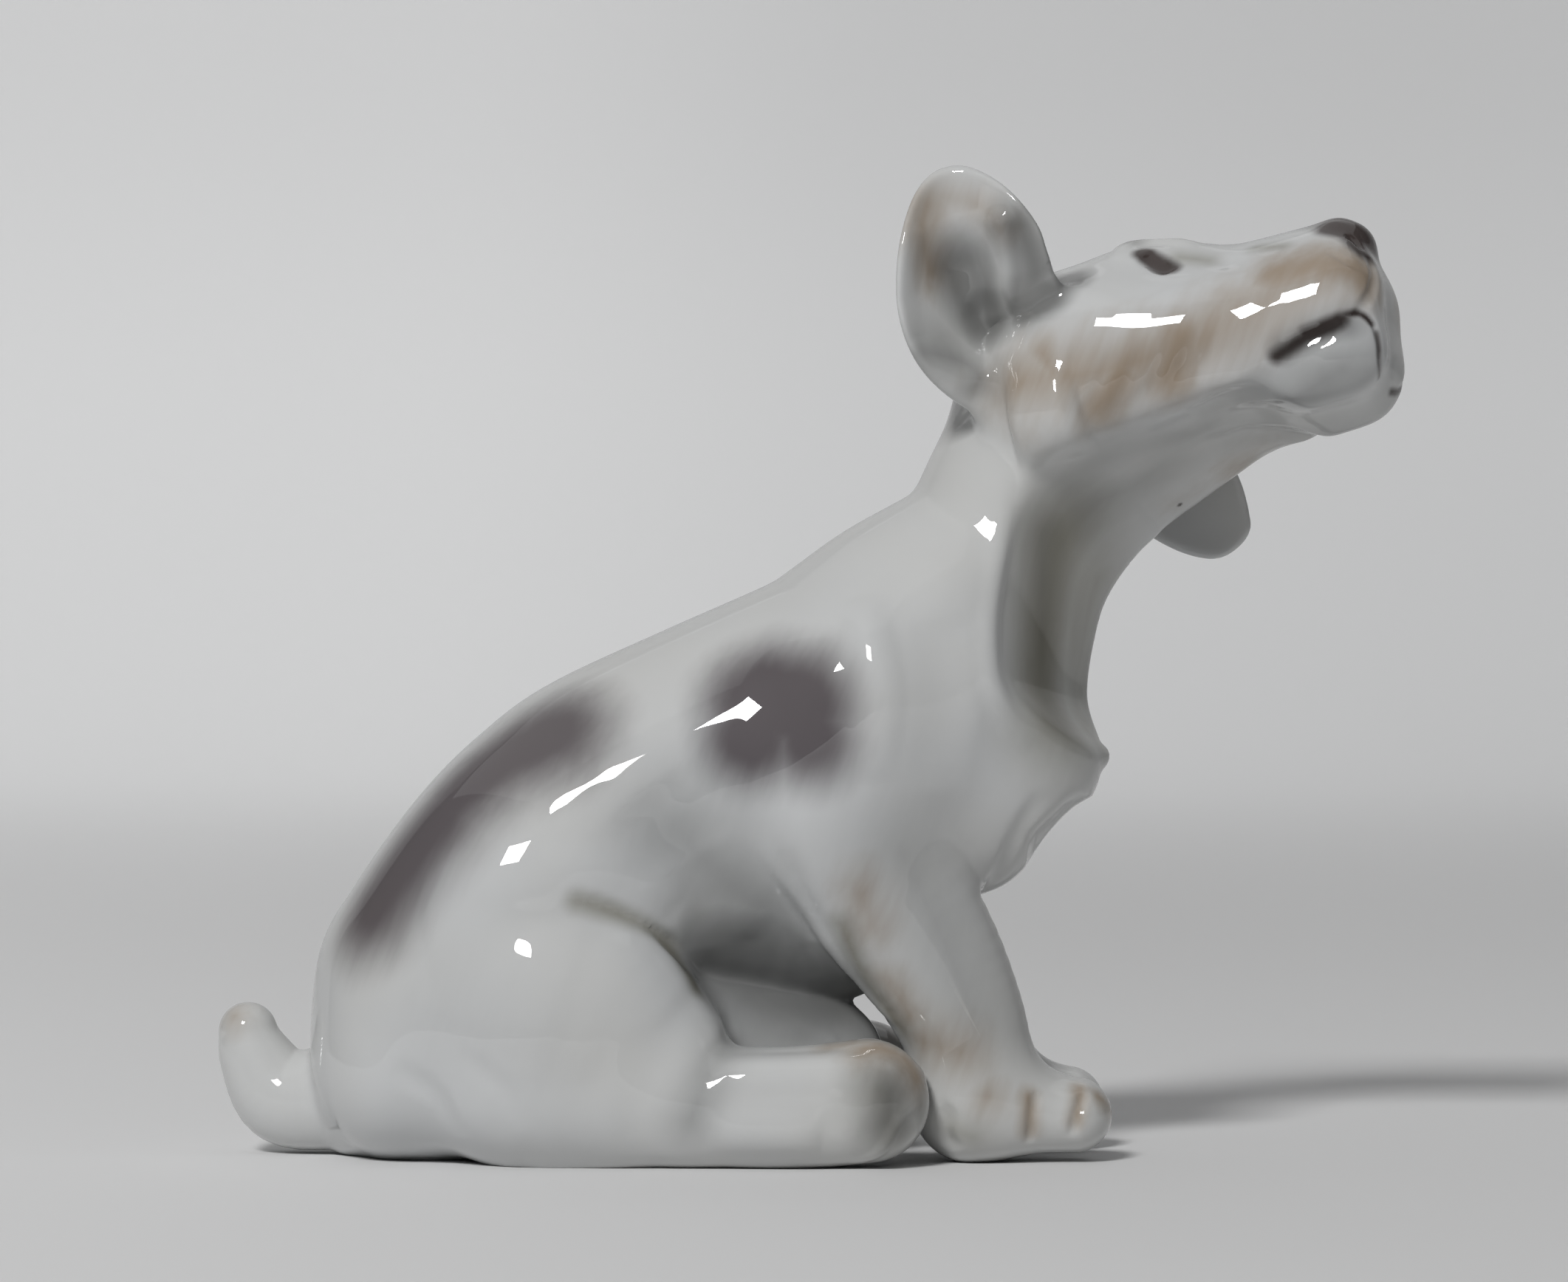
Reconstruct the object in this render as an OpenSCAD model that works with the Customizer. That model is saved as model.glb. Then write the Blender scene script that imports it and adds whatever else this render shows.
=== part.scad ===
// Seated terrier puppy, a slip cast porcelain figurine, built from its separate castings.
// The nose points along +X, the puppy's left side is +Y and it rests on the plane Z = 0.
// Every form is a skin drawn over a few round masses of clay. Tables give their places as
// hundredths of the figure's length, so one length sets the whole figure.

/* [Figure] */
// Length from the back of the tail to the front of the lips
figure_length = 176; // [120:1:260]
// Thickness of the trunk at the ribs, seen from the side
trunk_depth = 50; // [46:1:54]
// Thickness of a foreleg above the paw, seen from the side
leg_depth = 18; // [16:0.5:20]
// Thickness of the tail at its root
tail_depth = 15; // [13:0.5:16]
// Thickness of an ear at its middle
ear_thick = 2.7; // [2:0.1:4]

/* [Casting] */
// Wall of the hollow body casting
body_wall = 4; // [3:0.5:6]
// Wall of the hollow head casting
head_wall = 3; // [2.5:0.25:4]
// Thickness of the fired slip that joins two castings
slip_thick = 0.6; // [0.3:0.1:1.2]
// Diameter of the vent hole under the seat
vent_d = 7; // [4:0.5:12]
// Width of a nostril
nostril_d = 1.8; // [1:0.1:2.5]
// Diameter of the hollow that an eye is painted in
eye_d = 6; // [4:0.5:8]
// Width of the groove between two toes
toe_groove_d = 1.6; // [1:0.1:2.4]

/* [Hidden] */
pc = figure_length / 100;
// Depths that the tables below are drawn with, in hundredths of the figure's length.
trunk_depth_share = 28.4;
leg_depth_share = 10.2;
tail_depth_share = 8.5;
ear_thick_share = 1.53;
trunk_gain = trunk_depth / (trunk_depth_share * pc);
leg_gain = leg_depth / (leg_depth_share * pc);
tail_gain = tail_depth / (tail_depth_share * pc);
ear_gain = ear_thick / (ear_thick_share * pc);
body_sides = 32;
limb_sides = 18;
steps = 10;
// How far a cut runs past the face that it opens.
overrun = 1;

// Each row is x, y, z, radius and the share of that radius across the body.
trunk_shares = [
    [-29.4, 0.4, 14.0, 12.6, 1.12],
    [-25.8, 0.2, 18.5, 13.1, 1.08],
    [-22.0, 0.0, 22.6, 13.6, 1.05],
    [-18.4, 0.0, 25.5, 14.0, 1.01],
    [-14.7, 0.0, 27.9, 14.2, 0.98],
    [-6.0, 0.0, 31.9, 14.2, 0.92],
    [3.4, 0.0, 36.2, 14.1, 0.90],
    [7.0, 0.0, 38.8, 13.9, 0.89],
    [10.0, 0.0, 41.6, 13.4, 0.88],
    [13.1, 0.0, 44.6, 12.3, 0.87],
    [15.5, 0.0, 47.6, 10.9, 0.86],
    [17.4, 0.0, 51.6, 9.7, 0.88],
    [18.6, 0.0, 55.6, 9.0, 0.90],
    [20.3, 0.0, 59.6, 8.7, 0.93],
    [22.5, 0.0, 63.6, 8.5, 0.95]];
shoulder_shares = [
    [5.3, 7.4, 38.3, 7.9, 0.75],
    [3.3, 7.4, 29.1, 7.2, 0.72]];
chest_shares = [
    [18.6, 0.0, 33.7, 6.5, 1.10],
    [13.7, 0.0, 28.2, 6.1, 1.20]];
belly_shares = [
    [-8.0, 0.0, 21.5, 8.0, 1.00],
    [3.4, 0.0, 18.9, 5.4, 1.05],
    [6.6, 0.0, 20.9, 5.4, 1.05]];
throat_shares = [
    [21.1, 1.5, 52.9, 5.9, 0.85],
    [18.0, 1.5, 44.9, 6.0, 0.95],
    [17.4, 0.8, 38.3, 6.4, 1.00]];
thigh_shares = [
    [-21.0, 9.7, 10.6, 11.7, 0.70],
    [-14.3, 10.2, 8.4, 8.0, 0.78],
    [-10.4, 10.8, 6.2, 5.5, 0.95]];
seat_shares = [
    [-34.6, 0.0, 6.4, 6.9, 1.80],
    [-25.0, 0.0, 6.2, 6.8, 1.90],
    [-15.3, 0.0, 5.4, 6.3, 2.00]];
lap_shares = [
    [-12.0, 0.0, 12.0, 8.2, 1.00],
    [1.5, 0.0, 8.3, 5.0, 1.00]];
foreleg_shares = [
    [2.0, 6.8, 27.8, 7.1, 0.80],
    [8.6, 6.8, 19.9, 6.4, 0.80],
    [12.6, 6.8, 12.6, 5.5, 0.88],
    [13.9, 6.8, 7.4, 5.1, 0.95],
    [13.9, 6.8, 5.4, 4.6, 1.00]];
paw_shares = [
    [13.8, 6.8, 4.7, 4.1, 1.10],
    [22.4, 6.4, 3.9, 3.2, 1.35]];
foot_shares = [
    [-15.0, 12.0, 5.6, 5.1, 0.90],
    [-3.3, 12.5, 4.9, 5.1, 0.95],
    [4.9, 12.5, 5.5, 5.2, 1.00]];
tail_shares = [
    [-40.0, 1.1, 4.8, 4.4, 1.00],
    [-44.6, 1.7, 4.8, 4.1, 1.00],
    [-47.1, 1.7, 8.1, 3.1, 1.00],
    [-47.8, 1.7, 10.4, 2.5, 1.00]];
jaw_line_shares = [
    [22.9, 2.4, 55.6, 6.6, 0.90],
    [29.9, 1.2, 60.0, 6.4, 0.95],
    [37.3, -1.8, 64.0, 5.6, 1.00],
    [43.2, -4.3, 66.7, 4.8, 1.00]];

// The front of the throat and the underside of the jaws are hollow faces that meet in a soft
// corner. Each has a place, the way out of it, the way along it, a bend, a twist, and a bend
// that is added beyond its foot, towards the chest, or beyond its front, towards the chin.
throat_face_shares = [[21.0, -1.9, 45.9], [0.81, -0.58, -0.08], [0.13, 0.05, 0.99],
    0.012, -0.0145, 0.13, 0];
jaw_face_shares = [[32.6, -3.5, 59.1], [0.30, -0.48, -0.83], [0.90, -0.15, 0.42],
    -0.006, 0.013, 0, 0.08];
face_foot_share = -5.5;
face_front_share = 4;
face_corner_share = 5;
face_edge_share = 1;

// The head is placed in its own frame: forward, left and up from the skull's middle.
head_at_shares = [23.1, 0.0, 68.0];
head_turn_angle = 17;
head_lift_angle = 14;
head_lean_angle = 20;
skull_shares = [
    [-1.7, 0.0, -1.1, 8.2, 1.10],
    [3.4, 0.0, -0.6, 8.0, 1.10]];
brow_shares = [
    [7.4, 2.8, 2.3, 4.3, 1.00],
    [10.2, 2.3, 2.3, 3.7, 1.00]];
muzzle_shares = [
    [10.2, 0.0, 0.0, 5.7, 1.00],
    [21.6, 0.0, 0.6, 5.0, 1.00]];
lip_shares = [
    [12.5, 3.4, -2.3, 4.8, 0.85],
    [22.7, 2.6, -2.0, 4.7, 0.90]];
cheek_shares = [
    [0.0, 5.1, -4.5, 6.3, 0.85],
    [9.1, 4.0, -5.1, 5.7, 0.85]];
chin_shares = [
    [14.8, 3.4, -7.4, 4.5, 0.90],
    [22.7, 2.6, -7.1, 4.3, 0.90]];
nose_shares = [
    [24.1, 0.0, 3.5, 2.3, 1.45],
    [24.8, 0.0, 3.1, 2.2, 1.45]];

// Stations of a skin: x, y, z, climb, turn and the slant of the rays that find its points.
// A limb has stations in its stub on the body, then its own from the joint to its end.
body_station_shares = [
    [-31.0, 0.0, 13.0, 20, 0, -90],
    [-31.0, 0.0, 13.0, 20, 0, -62],
    [-31.0, 0.0, 13.0, 20, 0, -34],
    [-30.4, 0.0, 13.2, 20, 0, -8],
    [-28.4, 0.0, 14.2, 21, 0, 0],
    [-24.0, 0.0, 17.0, 23, 0, 0],
    [-18.4, 0.0, 21.6, 27, 0, 0],
    [-12.4, 0.0, 25.6, 32, 0, 0],
    [-6.4, 0.0, 28.6, 37, 0, 0],
    [-0.8, 0.0, 31.8, 42, 0, 0],
    [4.8, 0.0, 35.8, 47, 0, 0],
    [10.0, 0.0, 41.0, 52, 0, 0],
    [14.0, 0.0, 46.4, 56, 0, 0],
    [17.0, 0.0, 51.4, 59, 0, 0],
    [19.4, 0.0, 55.6, 60, 0, 0]];
head_station_shares = [
    [19.4, 0.0, 55.6, 60, 0, 0],
    [21.0, -0.2, 59.2, 52, 3, 0],
    [22.8, -0.5, 62.2, 42, 6, 0],
    [25.4, -1.0, 64.5, 32, 10, 0],
    [28.7, -2.0, 66.2, 22, 14, 0],
    [32.7, -3.2, 67.4, 14, 17, 0],
    [36.7, -4.4, 68.4, 14, 17, 0],
    [40.7, -5.6, 69.4, 14, 17, 0],
    [42.8, -6.3, 70.0, 14, 17, 24],
    [42.8, -6.3, 70.0, 14, 17, 48],
    [42.8, -6.3, 70.0, 14, 17, 68],
    [42.8, -6.3, 70.0, 14, 17, 90]];
haunch_station_shares = [
    [-19.0, -10.6, 9.4, 0, -90, -90],
    [-19.0, -10.6, 9.4, 0, -90, -66],
    [-19.0, -10.6, 9.4, 0, -90, -42],
    [-19.0, -10.6, 9.4, 0, -90, -18],
    [-19.0, -9.4, 9.4, 0, -90, 0],
    [-19.0, -7.0, 9.2, 0, -90, 0],
    [-19.0, -3.5, 9.0, 0, -90, 0],
    [-19.0, 0.0, 9.0, 0, -90, 0],
    [-19.0, 3.5, 9.0, 0, -90, 0],
    [-19.0, 7.0, 9.2, 0, -90, 0],
    [-19.0, 9.4, 9.4, 0, -90, 0],
    [-19.0, 10.6, 9.4, 0, -90, 18],
    [-19.0, 10.6, 9.4, 0, -90, 42],
    [-19.0, 10.6, 9.4, 0, -90, 66],
    [-19.0, 10.6, 9.4, 0, -90, 90]];
foreleg_stub_shares = [
    [3.0, 6.4, 26.6, -53, 0, -88],
    [3.2, 6.4, 26.2, -53, 0, -50],
    [4.8, 6.6, 24.4, -53, 0, -10],
    [8.4, 6.8, 19.8, -54, 0, 0]];
foreleg_station_shares = [
    [10.8, 6.8, 16.0, -56, 0, 0],
    [12.6, 6.8, 11.8, -66, 0, 0],
    [13.4, 6.8, 8.2, -70, 0, 0],
    [14.0, 6.8, 6.0, -45, 0, 0],
    [15.6, 6.8, 4.9, -20, 0, 0],
    [18.0, 6.7, 4.5, -6, 0, 0],
    [20.6, 6.5, 4.1, 0, 0, 0],
    [22.4, 6.4, 3.9, 0, 0, 30],
    [22.4, 6.4, 3.9, 0, 0, 60],
    [22.4, 6.4, 3.9, 0, 0, 90]];
foot_stub_shares = [
    [-13.0, 12.0, 5.5, 0, 0, 0],
    [-7.4, 12.2, 5.3, 0, 0, 0]];
foot_station_shares = [
    [-3.3, 12.5, 5.2, 0, 0, 0],
    [1.4, 12.5, 5.4, 2, 0, 0],
    [4.6, 12.5, 5.6, 2, 0, 10],
    [4.9, 12.5, 5.6, 2, 0, 40],
    [4.9, 12.5, 5.6, 2, 0, 65],
    [4.9, 12.5, 5.6, 2, 0, 90]];
tail_stub_shares = [
    [-38.6, 1.2, 4.8, 180, 0, 0]];
tail_station_shares = [
    [-43.6, 1.4, 4.8, 180, 0, 0],
    [-45.6, 1.7, 5.4, 150, 0, 0],
    [-46.9, 1.7, 7.6, 114, 0, 0],
    [-47.5, 1.7, 9.6, 102, 0, 0],
    [-47.8, 1.7, 10.4, 100, 0, 35],
    [-47.8, 1.7, 10.4, 100, 0, 62],
    [-47.8, 1.7, 10.4, 100, 0, 90]];

// Rows across an ear: one edge, the other edge, how far it dishes and its thickness.
// The first rows are in its stub on the head, then its own from the joint to its tip.
ear_right_stub_shares = [
    [17.2, -4.0, 61.6, 22.6, -5.1, 71.4, 0.3, 1.90],
    [15.3, -5.7, 62.4, 21.2, -7.4, 72.8, 0.7, 1.80],
    [13.3, -7.7, 63.2, 20.2, -9.4, 74.3, 1.7, 1.70]];
ear_right_shares = [
    [10.5, -9.7, 65.2, 20.1, -10.5, 75.5, 2.6, 1.60],
    [8.5, -10.5, 67.8, 19.8, -11.1, 76.7, 3.0, 1.55],
    [7.4, -10.8, 71.4, 19.3, -11.1, 78.2, 2.8, 1.50],
    [7.4, -10.5, 75.3, 18.2, -10.8, 79.8, 2.4, 1.40],
    [8.1, -9.7, 79.0, 16.6, -10.0, 81.6, 1.7, 1.35],
    [9.2, -8.8, 81.7, 14.8, -9.1, 82.9, 1.0, 1.30],
    [10.8, -8.3, 83.3, 12.9, -8.3, 83.7, 0.3, 1.20]];
ear_left_stub_shares = [
    [21.3, 4.5, 63.8, 26.4, 5.7, 72.0, 0.3, 1.80],
    [21.4, 6.8, 62.2, 27.9, 7.9, 70.4, 0.6, 1.80],
    [22.5, 8.5, 59.9, 30.7, 9.6, 67.4, 1.1, 1.70]];
ear_left_shares = [
    [24.9, 9.6, 56.9, 33.8, 10.5, 64.0, 1.4, 1.60],
    [28.0, 10.2, 54.2, 36.2, 10.8, 60.6, 1.4, 1.50],
    [30.7, 9.9, 52.3, 37.7, 10.5, 57.6, 1.1, 1.40],
    [33.4, 9.6, 51.1, 38.3, 9.9, 55.3, 0.8, 1.35],
    [36.1, 9.1, 50.8, 38.6, 9.3, 53.0, 0.3, 1.25]];
ear_sides = 28;
dish_at_share = 0.56;
// Exponents that round an ear's rim and its dish.
rim_round_share = 5;
dish_round_share = 2.2;
vent_x_share = -27;
paw_toe_share = 1.5;
foot_toe_share = 1.8;
// Thicker legs draw the hind toes back by this much of the added thickness, and a deeper
// trunk draws the knees back, so that feet and forelegs stay clear.
toes_back_share = 11;
knees_back_share = 9;
eye_from_shares = [8.8, 2.5, 2.3];
eye_way_shares = [0.35, 0.75, 0.5];
eye_out_share = 0.8;
nostril_from_shares = [24.4, 0, 3.3];
nostril_way_shares = [0.8, 0.6, 0.1];
nostril_out_share = 0.3;

// Blends between masses, from a soft flow to a firm edge.
soft_share = 4.5;
mid_share = 3.4;
firm_share = 2.3;
crisp_share = 0.9;
far_share = 1000;

// The neck flows into the body above one height and into the jaw line below another.
neck_from_share = 40;
neck_to_share = 66;
// A ray that a wall is taken from keeps at least this much of its reach.
least_reach_share = 1;

glaze_white = [0.93, 0.94, 0.95];
glaze_warm = [0.90, 0.89, 0.86];
slip_grey = [0.80, 0.80, 0.78];

function mix(a, b, t) = a + (b - a) * t;
function curve(a, b, c, d, t) = (2 * b + (c - a) * t + (2 * a - 5 * b + 4 * c - d) * t * t
    + (3 * b - a - 3 * c + d) * t * t * t) / 2;
function curve_at(rows, i, t) = curve(rows[max(i - 1, 0)], rows[i], rows[i + 1],
    rows[min(i + 2, len(rows) - 1)], t);
function smooth_rows(rows, n) = concat([for (i = [0 : len(rows) - 2]) for (j = [0 : n - 1])
    curve_at(rows, i, j / n)], [rows[len(rows) - 1]]);

// Frames. A frame is its origin and its forward, left and up directions.
world = [[0, 0, 0], [1, 0, 0], [0, 1, 0], [0, 0, 1]];
function turned(v, a) = [v[0] * cos(a) + v[1] * sin(a), v[1] * cos(a) - v[0] * sin(a), v[2]];
function lifted(v, a) = [v[0] * cos(a) - v[2] * sin(a), v[1], v[2] * cos(a) + v[0] * sin(a)];
function leaned(v, a) = [v[0], v[1] * cos(a) + v[2] * sin(a), v[2] * cos(a) - v[1] * sin(a)];
function head_way(v) = turned(lifted(leaned(v, head_lean_angle), head_lift_angle), head_turn_angle);
head_frame = [head_at_shares, head_way([1, 0, 0]), head_way([0, 1, 0]), head_way([0, 0, 1])];
function placed(v, f) = f[0] + v[0] * f[1] + v[1] * f[2] + v[2] * f[3];

// One stretch of a mass: start, run, run squared, radius, growth, width, growth and side.
function stretch(a, b, f, side, gain) =
    let (p = placed([a[0], a[1] * side, a[2]], f), q = placed([b[0], b[1] * side, b[2]], f))
    [p, q - p, (q - p) * (q - p), a[3] * gain, (b[3] - a[3]) * gain, a[4], b[4] - a[4], f[2]];
function mass(rows, blend, f = world, side = 1, gain = 1) =
    [[for (i = [0 : len(rows) - 2]) stretch(rows[i], rows[i + 1], f, side, gain)], blend];
function stretch_gap(p, s) =
    let (o = p - s[0], t = max(0, min(1, o * s[1] / s[2])), q = o - t * s[1])
    let (w = s[5] + t * s[6], n = q * s[7])
    norm(q + s[7] * (n / w - n)) - s[3] - t * s[4];
function mass_gap(p, m) = min([for (s = m[0]) stretch_gap(p, s)]);
function blended(a, b, k) = min(a, b) - pow(max(k - abs(a - b), 0), 2) / (4 * k);
function gap(p, masses, i = 0, d = far_share) = i == len(masses) ? d
    : gap(p, masses, i + 1, blended(d, mass_gap(p, masses[i]), masses[i][1]));

// The clay that is left once the hollow faces are cut.
function face_gap(p, f) = let (q = p - f[0], u = q * f[2], v = q * cross(f[1], f[2]))
    q * f[1] - f[3] * u * u - f[4] * u * v - f[5] * pow(max(face_foot_share - u, 0), 2)
    - f[6] * pow(max(u - face_front_share, 0), 2);
function faces_gap(p) = blended(face_gap(p, throat_face_shares), face_gap(p, jaw_face_shares),
    face_corner_share);
function clay_gap(p, masses) = -blended(-gap(p, masses), -faces_gap(p), face_edge_share);

// Rows from one place forward, drawn back by a length in shares.
function drawn_back(rows, from, by) = [for (r = rows) r[0] < from ? r
    : concat([r[0] - by], [for (i = [1 : len(r) - 1]) r[i]])];
function toes_back(rows) = drawn_back(rows, foot_station_shares[0][0],
    toes_back_share * (leg_gain - 1));
function knees_back(rows, from) = drawn_back(rows, from, knees_back_share * (trunk_gain - 1));
foot_clay_shares = toes_back(foot_shares);
thigh_clay_shares = knees_back(thigh_shares, thigh_shares[1][0]);
lap_clay_shares = [for (r = knees_back(lap_shares, lap_shares[0][0]))
    [r[0], r[1], r[2], r[3], r[4] / trunk_gain]];

body_masses = concat([mass(trunk_shares, mid_share, world, 1, trunk_gain)],
    [for (s = [-1, 1]) mass(shoulder_shares, soft_share, world, s, trunk_gain)],
    [mass(chest_shares, soft_share, world, 1, trunk_gain)],
    [mass(belly_shares, mid_share, world, 1, trunk_gain)],
    [mass(throat_shares, mid_share, world, 1, trunk_gain)]);
haunch_masses = concat([for (s = [-1, 1]) mass(thigh_clay_shares, mid_share, world, s, trunk_gain)],
    [mass(seat_shares, mid_share, world, 1, trunk_gain)],
    [mass(lap_clay_shares, mid_share, world, 1, trunk_gain)]);
head_masses = concat([mass(jaw_line_shares, soft_share)],
    [mass(skull_shares, mid_share, head_frame)],
    [for (s = [-1, 1]) mass(brow_shares, firm_share, head_frame, s)],
    [mass(muzzle_shares, mid_share, head_frame)],
    [for (s = [-1, 1]) mass(lip_shares, firm_share, head_frame, s)],
    [for (s = [-1, 1]) mass(cheek_shares, mid_share, head_frame, s)],
    [for (s = [-1, 1]) mass(chin_shares, firm_share, head_frame, s)],
    [mass(nose_shares, crisp_share, head_frame)]);
neck_masses = concat([mass(trunk_shares, mid_share, world, 1, trunk_gain)],
    [mass(throat_shares, mid_share, world, 1, trunk_gain)], head_masses);
whole_masses = concat(body_masses, head_masses);

// A ray walks outward from its station until it meets the surface.
function walk(c, d, masses, n, t = 0) = n == 0 ? t
    : walk(c, d, masses, n - 1, max(0, t - clay_gap(c + d * t, masses)));
function forward(s) = [cos(s[3]) * cos(s[4]), -cos(s[3]) * sin(s[4]), sin(s[3])];
function across(s) = [sin(s[4]), cos(s[4]), 0];
function upward(s) = [-sin(s[3]) * cos(s[4]), sin(s[3]) * sin(s[4]), cos(s[3])];
function ray(s, a) = (across(s) * cos(a) + upward(s) * sin(a)) * cos(s[5]) + forward(s) * sin(s[5]);
function centre(s) = [s[0], s[1], s[2]];
function reaches(s, masses, n) = [for (j = [0 : n - 1])
    walk(centre(s), ray(s, 360 * j / n), masses, steps)];
function ring(s, r, wall = 0) = [for (j = [0 : len(r) - 1])
    (centre(s) + ray(s, 360 * j / len(r)) * max(r[j] - wall, least_reach_share)) * pc];
function tip(s, masses, way) = let (d = forward(s) * way)
    (centre(s) + d * walk(centre(s), d, masses, steps)) * pc;
function moved(points, by) = [for (p = points) p + by];
function above(points, z) = [for (p = points) [p[0], p[1], max(p[2], z)]];
function joined(lists) = [for (l = lists) for (p = l) p];

// A closed skin over rings, with a flat end or a single tip at either side.
module skin(rings, start = [], finish = []) {
    n = len(rings[0]);
    m = len(rings);
    o = len(start);
    side = [for (i = [0 : m - 2]) for (j = [0 : n - 1])
        let (a = o + i * n + j, b = o + i * n + (j + 1) % n)
        each [[a, a + n, b], [b, a + n, b + n]]];
    back = o == 0 ? [[for (j = [0 : n - 1]) j]] : [for (j = [0 : n - 1]) [0, o + j, o + (j + 1) % n]];
    last = o + (m - 1) * n;
    front = len(finish) == 0 ? [[for (j = [n - 1 : -1 : 0]) last + j]]
        : [for (j = [0 : n - 1]) [last + n, last + (j + 1) % n, last + j]];
    polyhedron(points = concat(start, joined(rings), finish), faces = concat(side, back, front));
}

function sided(rows, side) = [for (r = rows) [r[0], r[1] * side, r[2], r[3], r[4], r[5]]];
function is_ray(s) = abs(s[5]) < 89;
function limb_rings(rows, masses) = [for (s = rows) if (is_ray(s))
    ring(s, reaches(s, masses, limb_sides))];
function first_rings(rings, n) = [for (i = [0 : n]) rings[i]];
function last_rings(rings, n) = [for (i = [n : len(rings) - 1]) rings[i]];

// Body and head share the ring at the neck joint.
body_rows = smooth_rows(body_station_shares, 2);
head_rows = smooth_rows(head_station_shares, 2);
haunch_rows = smooth_rows(haunch_station_shares, 2);
neck_row = body_station_shares[len(body_station_shares) - 1];
neck_way = forward(neck_row) * slip_thick;
neck_past = forward(neck_row) * overrun;
function body_reach(s) = reaches(s, s[2] > neck_from_share ? whole_masses : body_masses, body_sides);
function body_rings(wall) = [for (s = body_rows) if (is_ray(s)) ring(s, body_reach(s), wall)];
function head_reach(s) = reaches(s, s[2] < neck_to_share ? whole_masses : neck_masses, body_sides);
function head_rings(wall) = [for (s = head_rows) if (is_ray(s)) ring(s, head_reach(s), wall)];
function but_last(l) = [for (i = [0 : len(l) - 2]) l[i]];

module body_form() {
    r = body_rings(0);
    end = moved(r[len(r) - 1], -neck_way);
    skin(concat(but_last(r), [end]), [tip(body_rows[0], body_masses, -1)], []);
}

module body_hollow() {
    rows = [for (i = [8 : 2 : len(body_rows) - 2]) body_rows[i]];
    r = [for (s = rows) above(ring(s, body_reach(s), body_wall / pc), body_wall)];
    j = ring(neck_row, body_reach(neck_row), body_wall / pc);
    skin(concat(r, [moved(j, -neck_way - neck_past), moved(j, neck_past)]));
}

module haunch_form() {
    r = [for (s = haunch_rows) if (is_ray(s)) ring(s, reaches(s, haunch_masses, body_sides))];
    skin(r, [tip(haunch_rows[0], haunch_masses, -1)],
        [tip(haunch_rows[len(haunch_rows) - 1], haunch_masses, 1)]);
}

module haunch_hollow() {
    r = [for (i = [8 : 2 : 20]) let (s = haunch_rows[i])
        above(ring(s, reaches(s, haunch_masses, limb_sides), body_wall / pc), body_wall)];
    skin(r);
}

module head_form() {
    r = head_rings(0);
    skin(r, [], [tip(head_rows[len(head_rows) - 1], neck_masses, 1)]);
}

module head_hollow() {
    rows = [for (i = [2 : 2 : 14]) head_rows[i]];
    r = [for (s = rows) ring(s, head_reach(s), head_wall / pc)];
    j = ring(neck_row, body_reach(neck_row), body_wall / pc);
    skin(concat([moved(j, -neck_past), moved(j, neck_way)], r));
}

module neck_slip_form() {
    j = ring(neck_row, body_reach(neck_row));
    h = ring(neck_row, body_reach(neck_row), body_wall / pc);
    difference() {
        skin([moved(j, -neck_way), j]);
        skin([moved(h, -neck_way - neck_past), moved(h, neck_past)]);
    }
}

// Limbs. The stub belongs to the torso and the rest is the limb's own casting.
foreleg_rows = smooth_rows(concat(foreleg_stub_shares, foreleg_station_shares), 2);
foot_rows = smooth_rows(concat(foot_stub_shares, toes_back(foot_station_shares)), 2);
tail_rows = smooth_rows(concat(tail_stub_shares, tail_station_shares), 2);
foreleg_joint = len(foreleg_stub_shares) * 2;
foot_joint = len(foot_stub_shares) * 2;
tail_joint = len(tail_stub_shares) * 2;
function foreleg_masses(side) = [mass(foreleg_shares, mid_share, world, side, leg_gain),
    mass(paw_shares, mid_share, world, side, leg_gain)];
function foot_masses(side) = [mass(foot_clay_shares, mid_share, world, side, leg_gain)];
tail_masses = [mass(tail_shares, mid_share, world, 1, tail_gain)];

module limb(rows, masses, joint) {
    r = limb_rings(rows, masses);
    skin(last_rings(r, joint), [], [tip(rows[len(rows) - 1], masses, 1)]);
}

module limb_stub(rows, masses, joint) {
    r = limb_rings(first_rings(rows, joint), masses);
    way = forward(rows[joint]) * slip_thick;
    skin([for (q = r) moved(q, -way)]);
}

module limb_slip(rows, masses, joint) {
    r = ring(rows[joint], reaches(rows[joint], masses, limb_sides));
    way = forward(rows[joint]) * slip_thick;
    skin([moved(r, -way), r]);
}

module foreleg(side) {
    difference() {
        limb(sided(foreleg_rows, side), foreleg_masses(side), foreleg_joint);
        toe_grooves(paw_shares[1], side, paw_toe_share, foreleg_masses(side));
        below_ground();
    }
}

module hind_foot(side) {
    difference() {
        limb(sided(foot_rows, side), foot_masses(side), foot_joint);
        toe_grooves(foot_clay_shares[2], side, foot_toe_share, foot_masses(side));
        below_ground();
    }
}

// Grooves between toes follow the front of a paw from its top to its underside.
module toe_grooves(end, side, apart, masses) {
    for (y = [-apart, apart]) {
        c = [end[0], end[1] * side + y, end[2]];
        translate(c * pc)
            rotate([90, 0, 0])
                rotate([0, 0, -80])
                    rotate_extrude(angle = 170, $fn = 72)
                        translate([walk(c, [1, 0, 0], masses, steps) * pc, 0])
                            circle(d = toe_groove_d, $fn = 16);
    }
}

// A round hollow whose centre stands out from the surface by a share of its radius.
module dimple(from, way, side, out_share, d) {
    c = placed([from[0], from[1] * side, from[2]], head_frame);
    u = head_way([way[0], way[1] * side, way[2]] / norm(way));
    translate((c + u * walk(c, u, neck_masses, steps)) * pc + u * d / 2 * out_share)
        sphere(d = d, $fn = 48);
}

module below_ground() {
    translate([-figure_length, -figure_length, -figure_length])
        cube([figure_length * 2, figure_length * 2, figure_length]);
}

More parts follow.
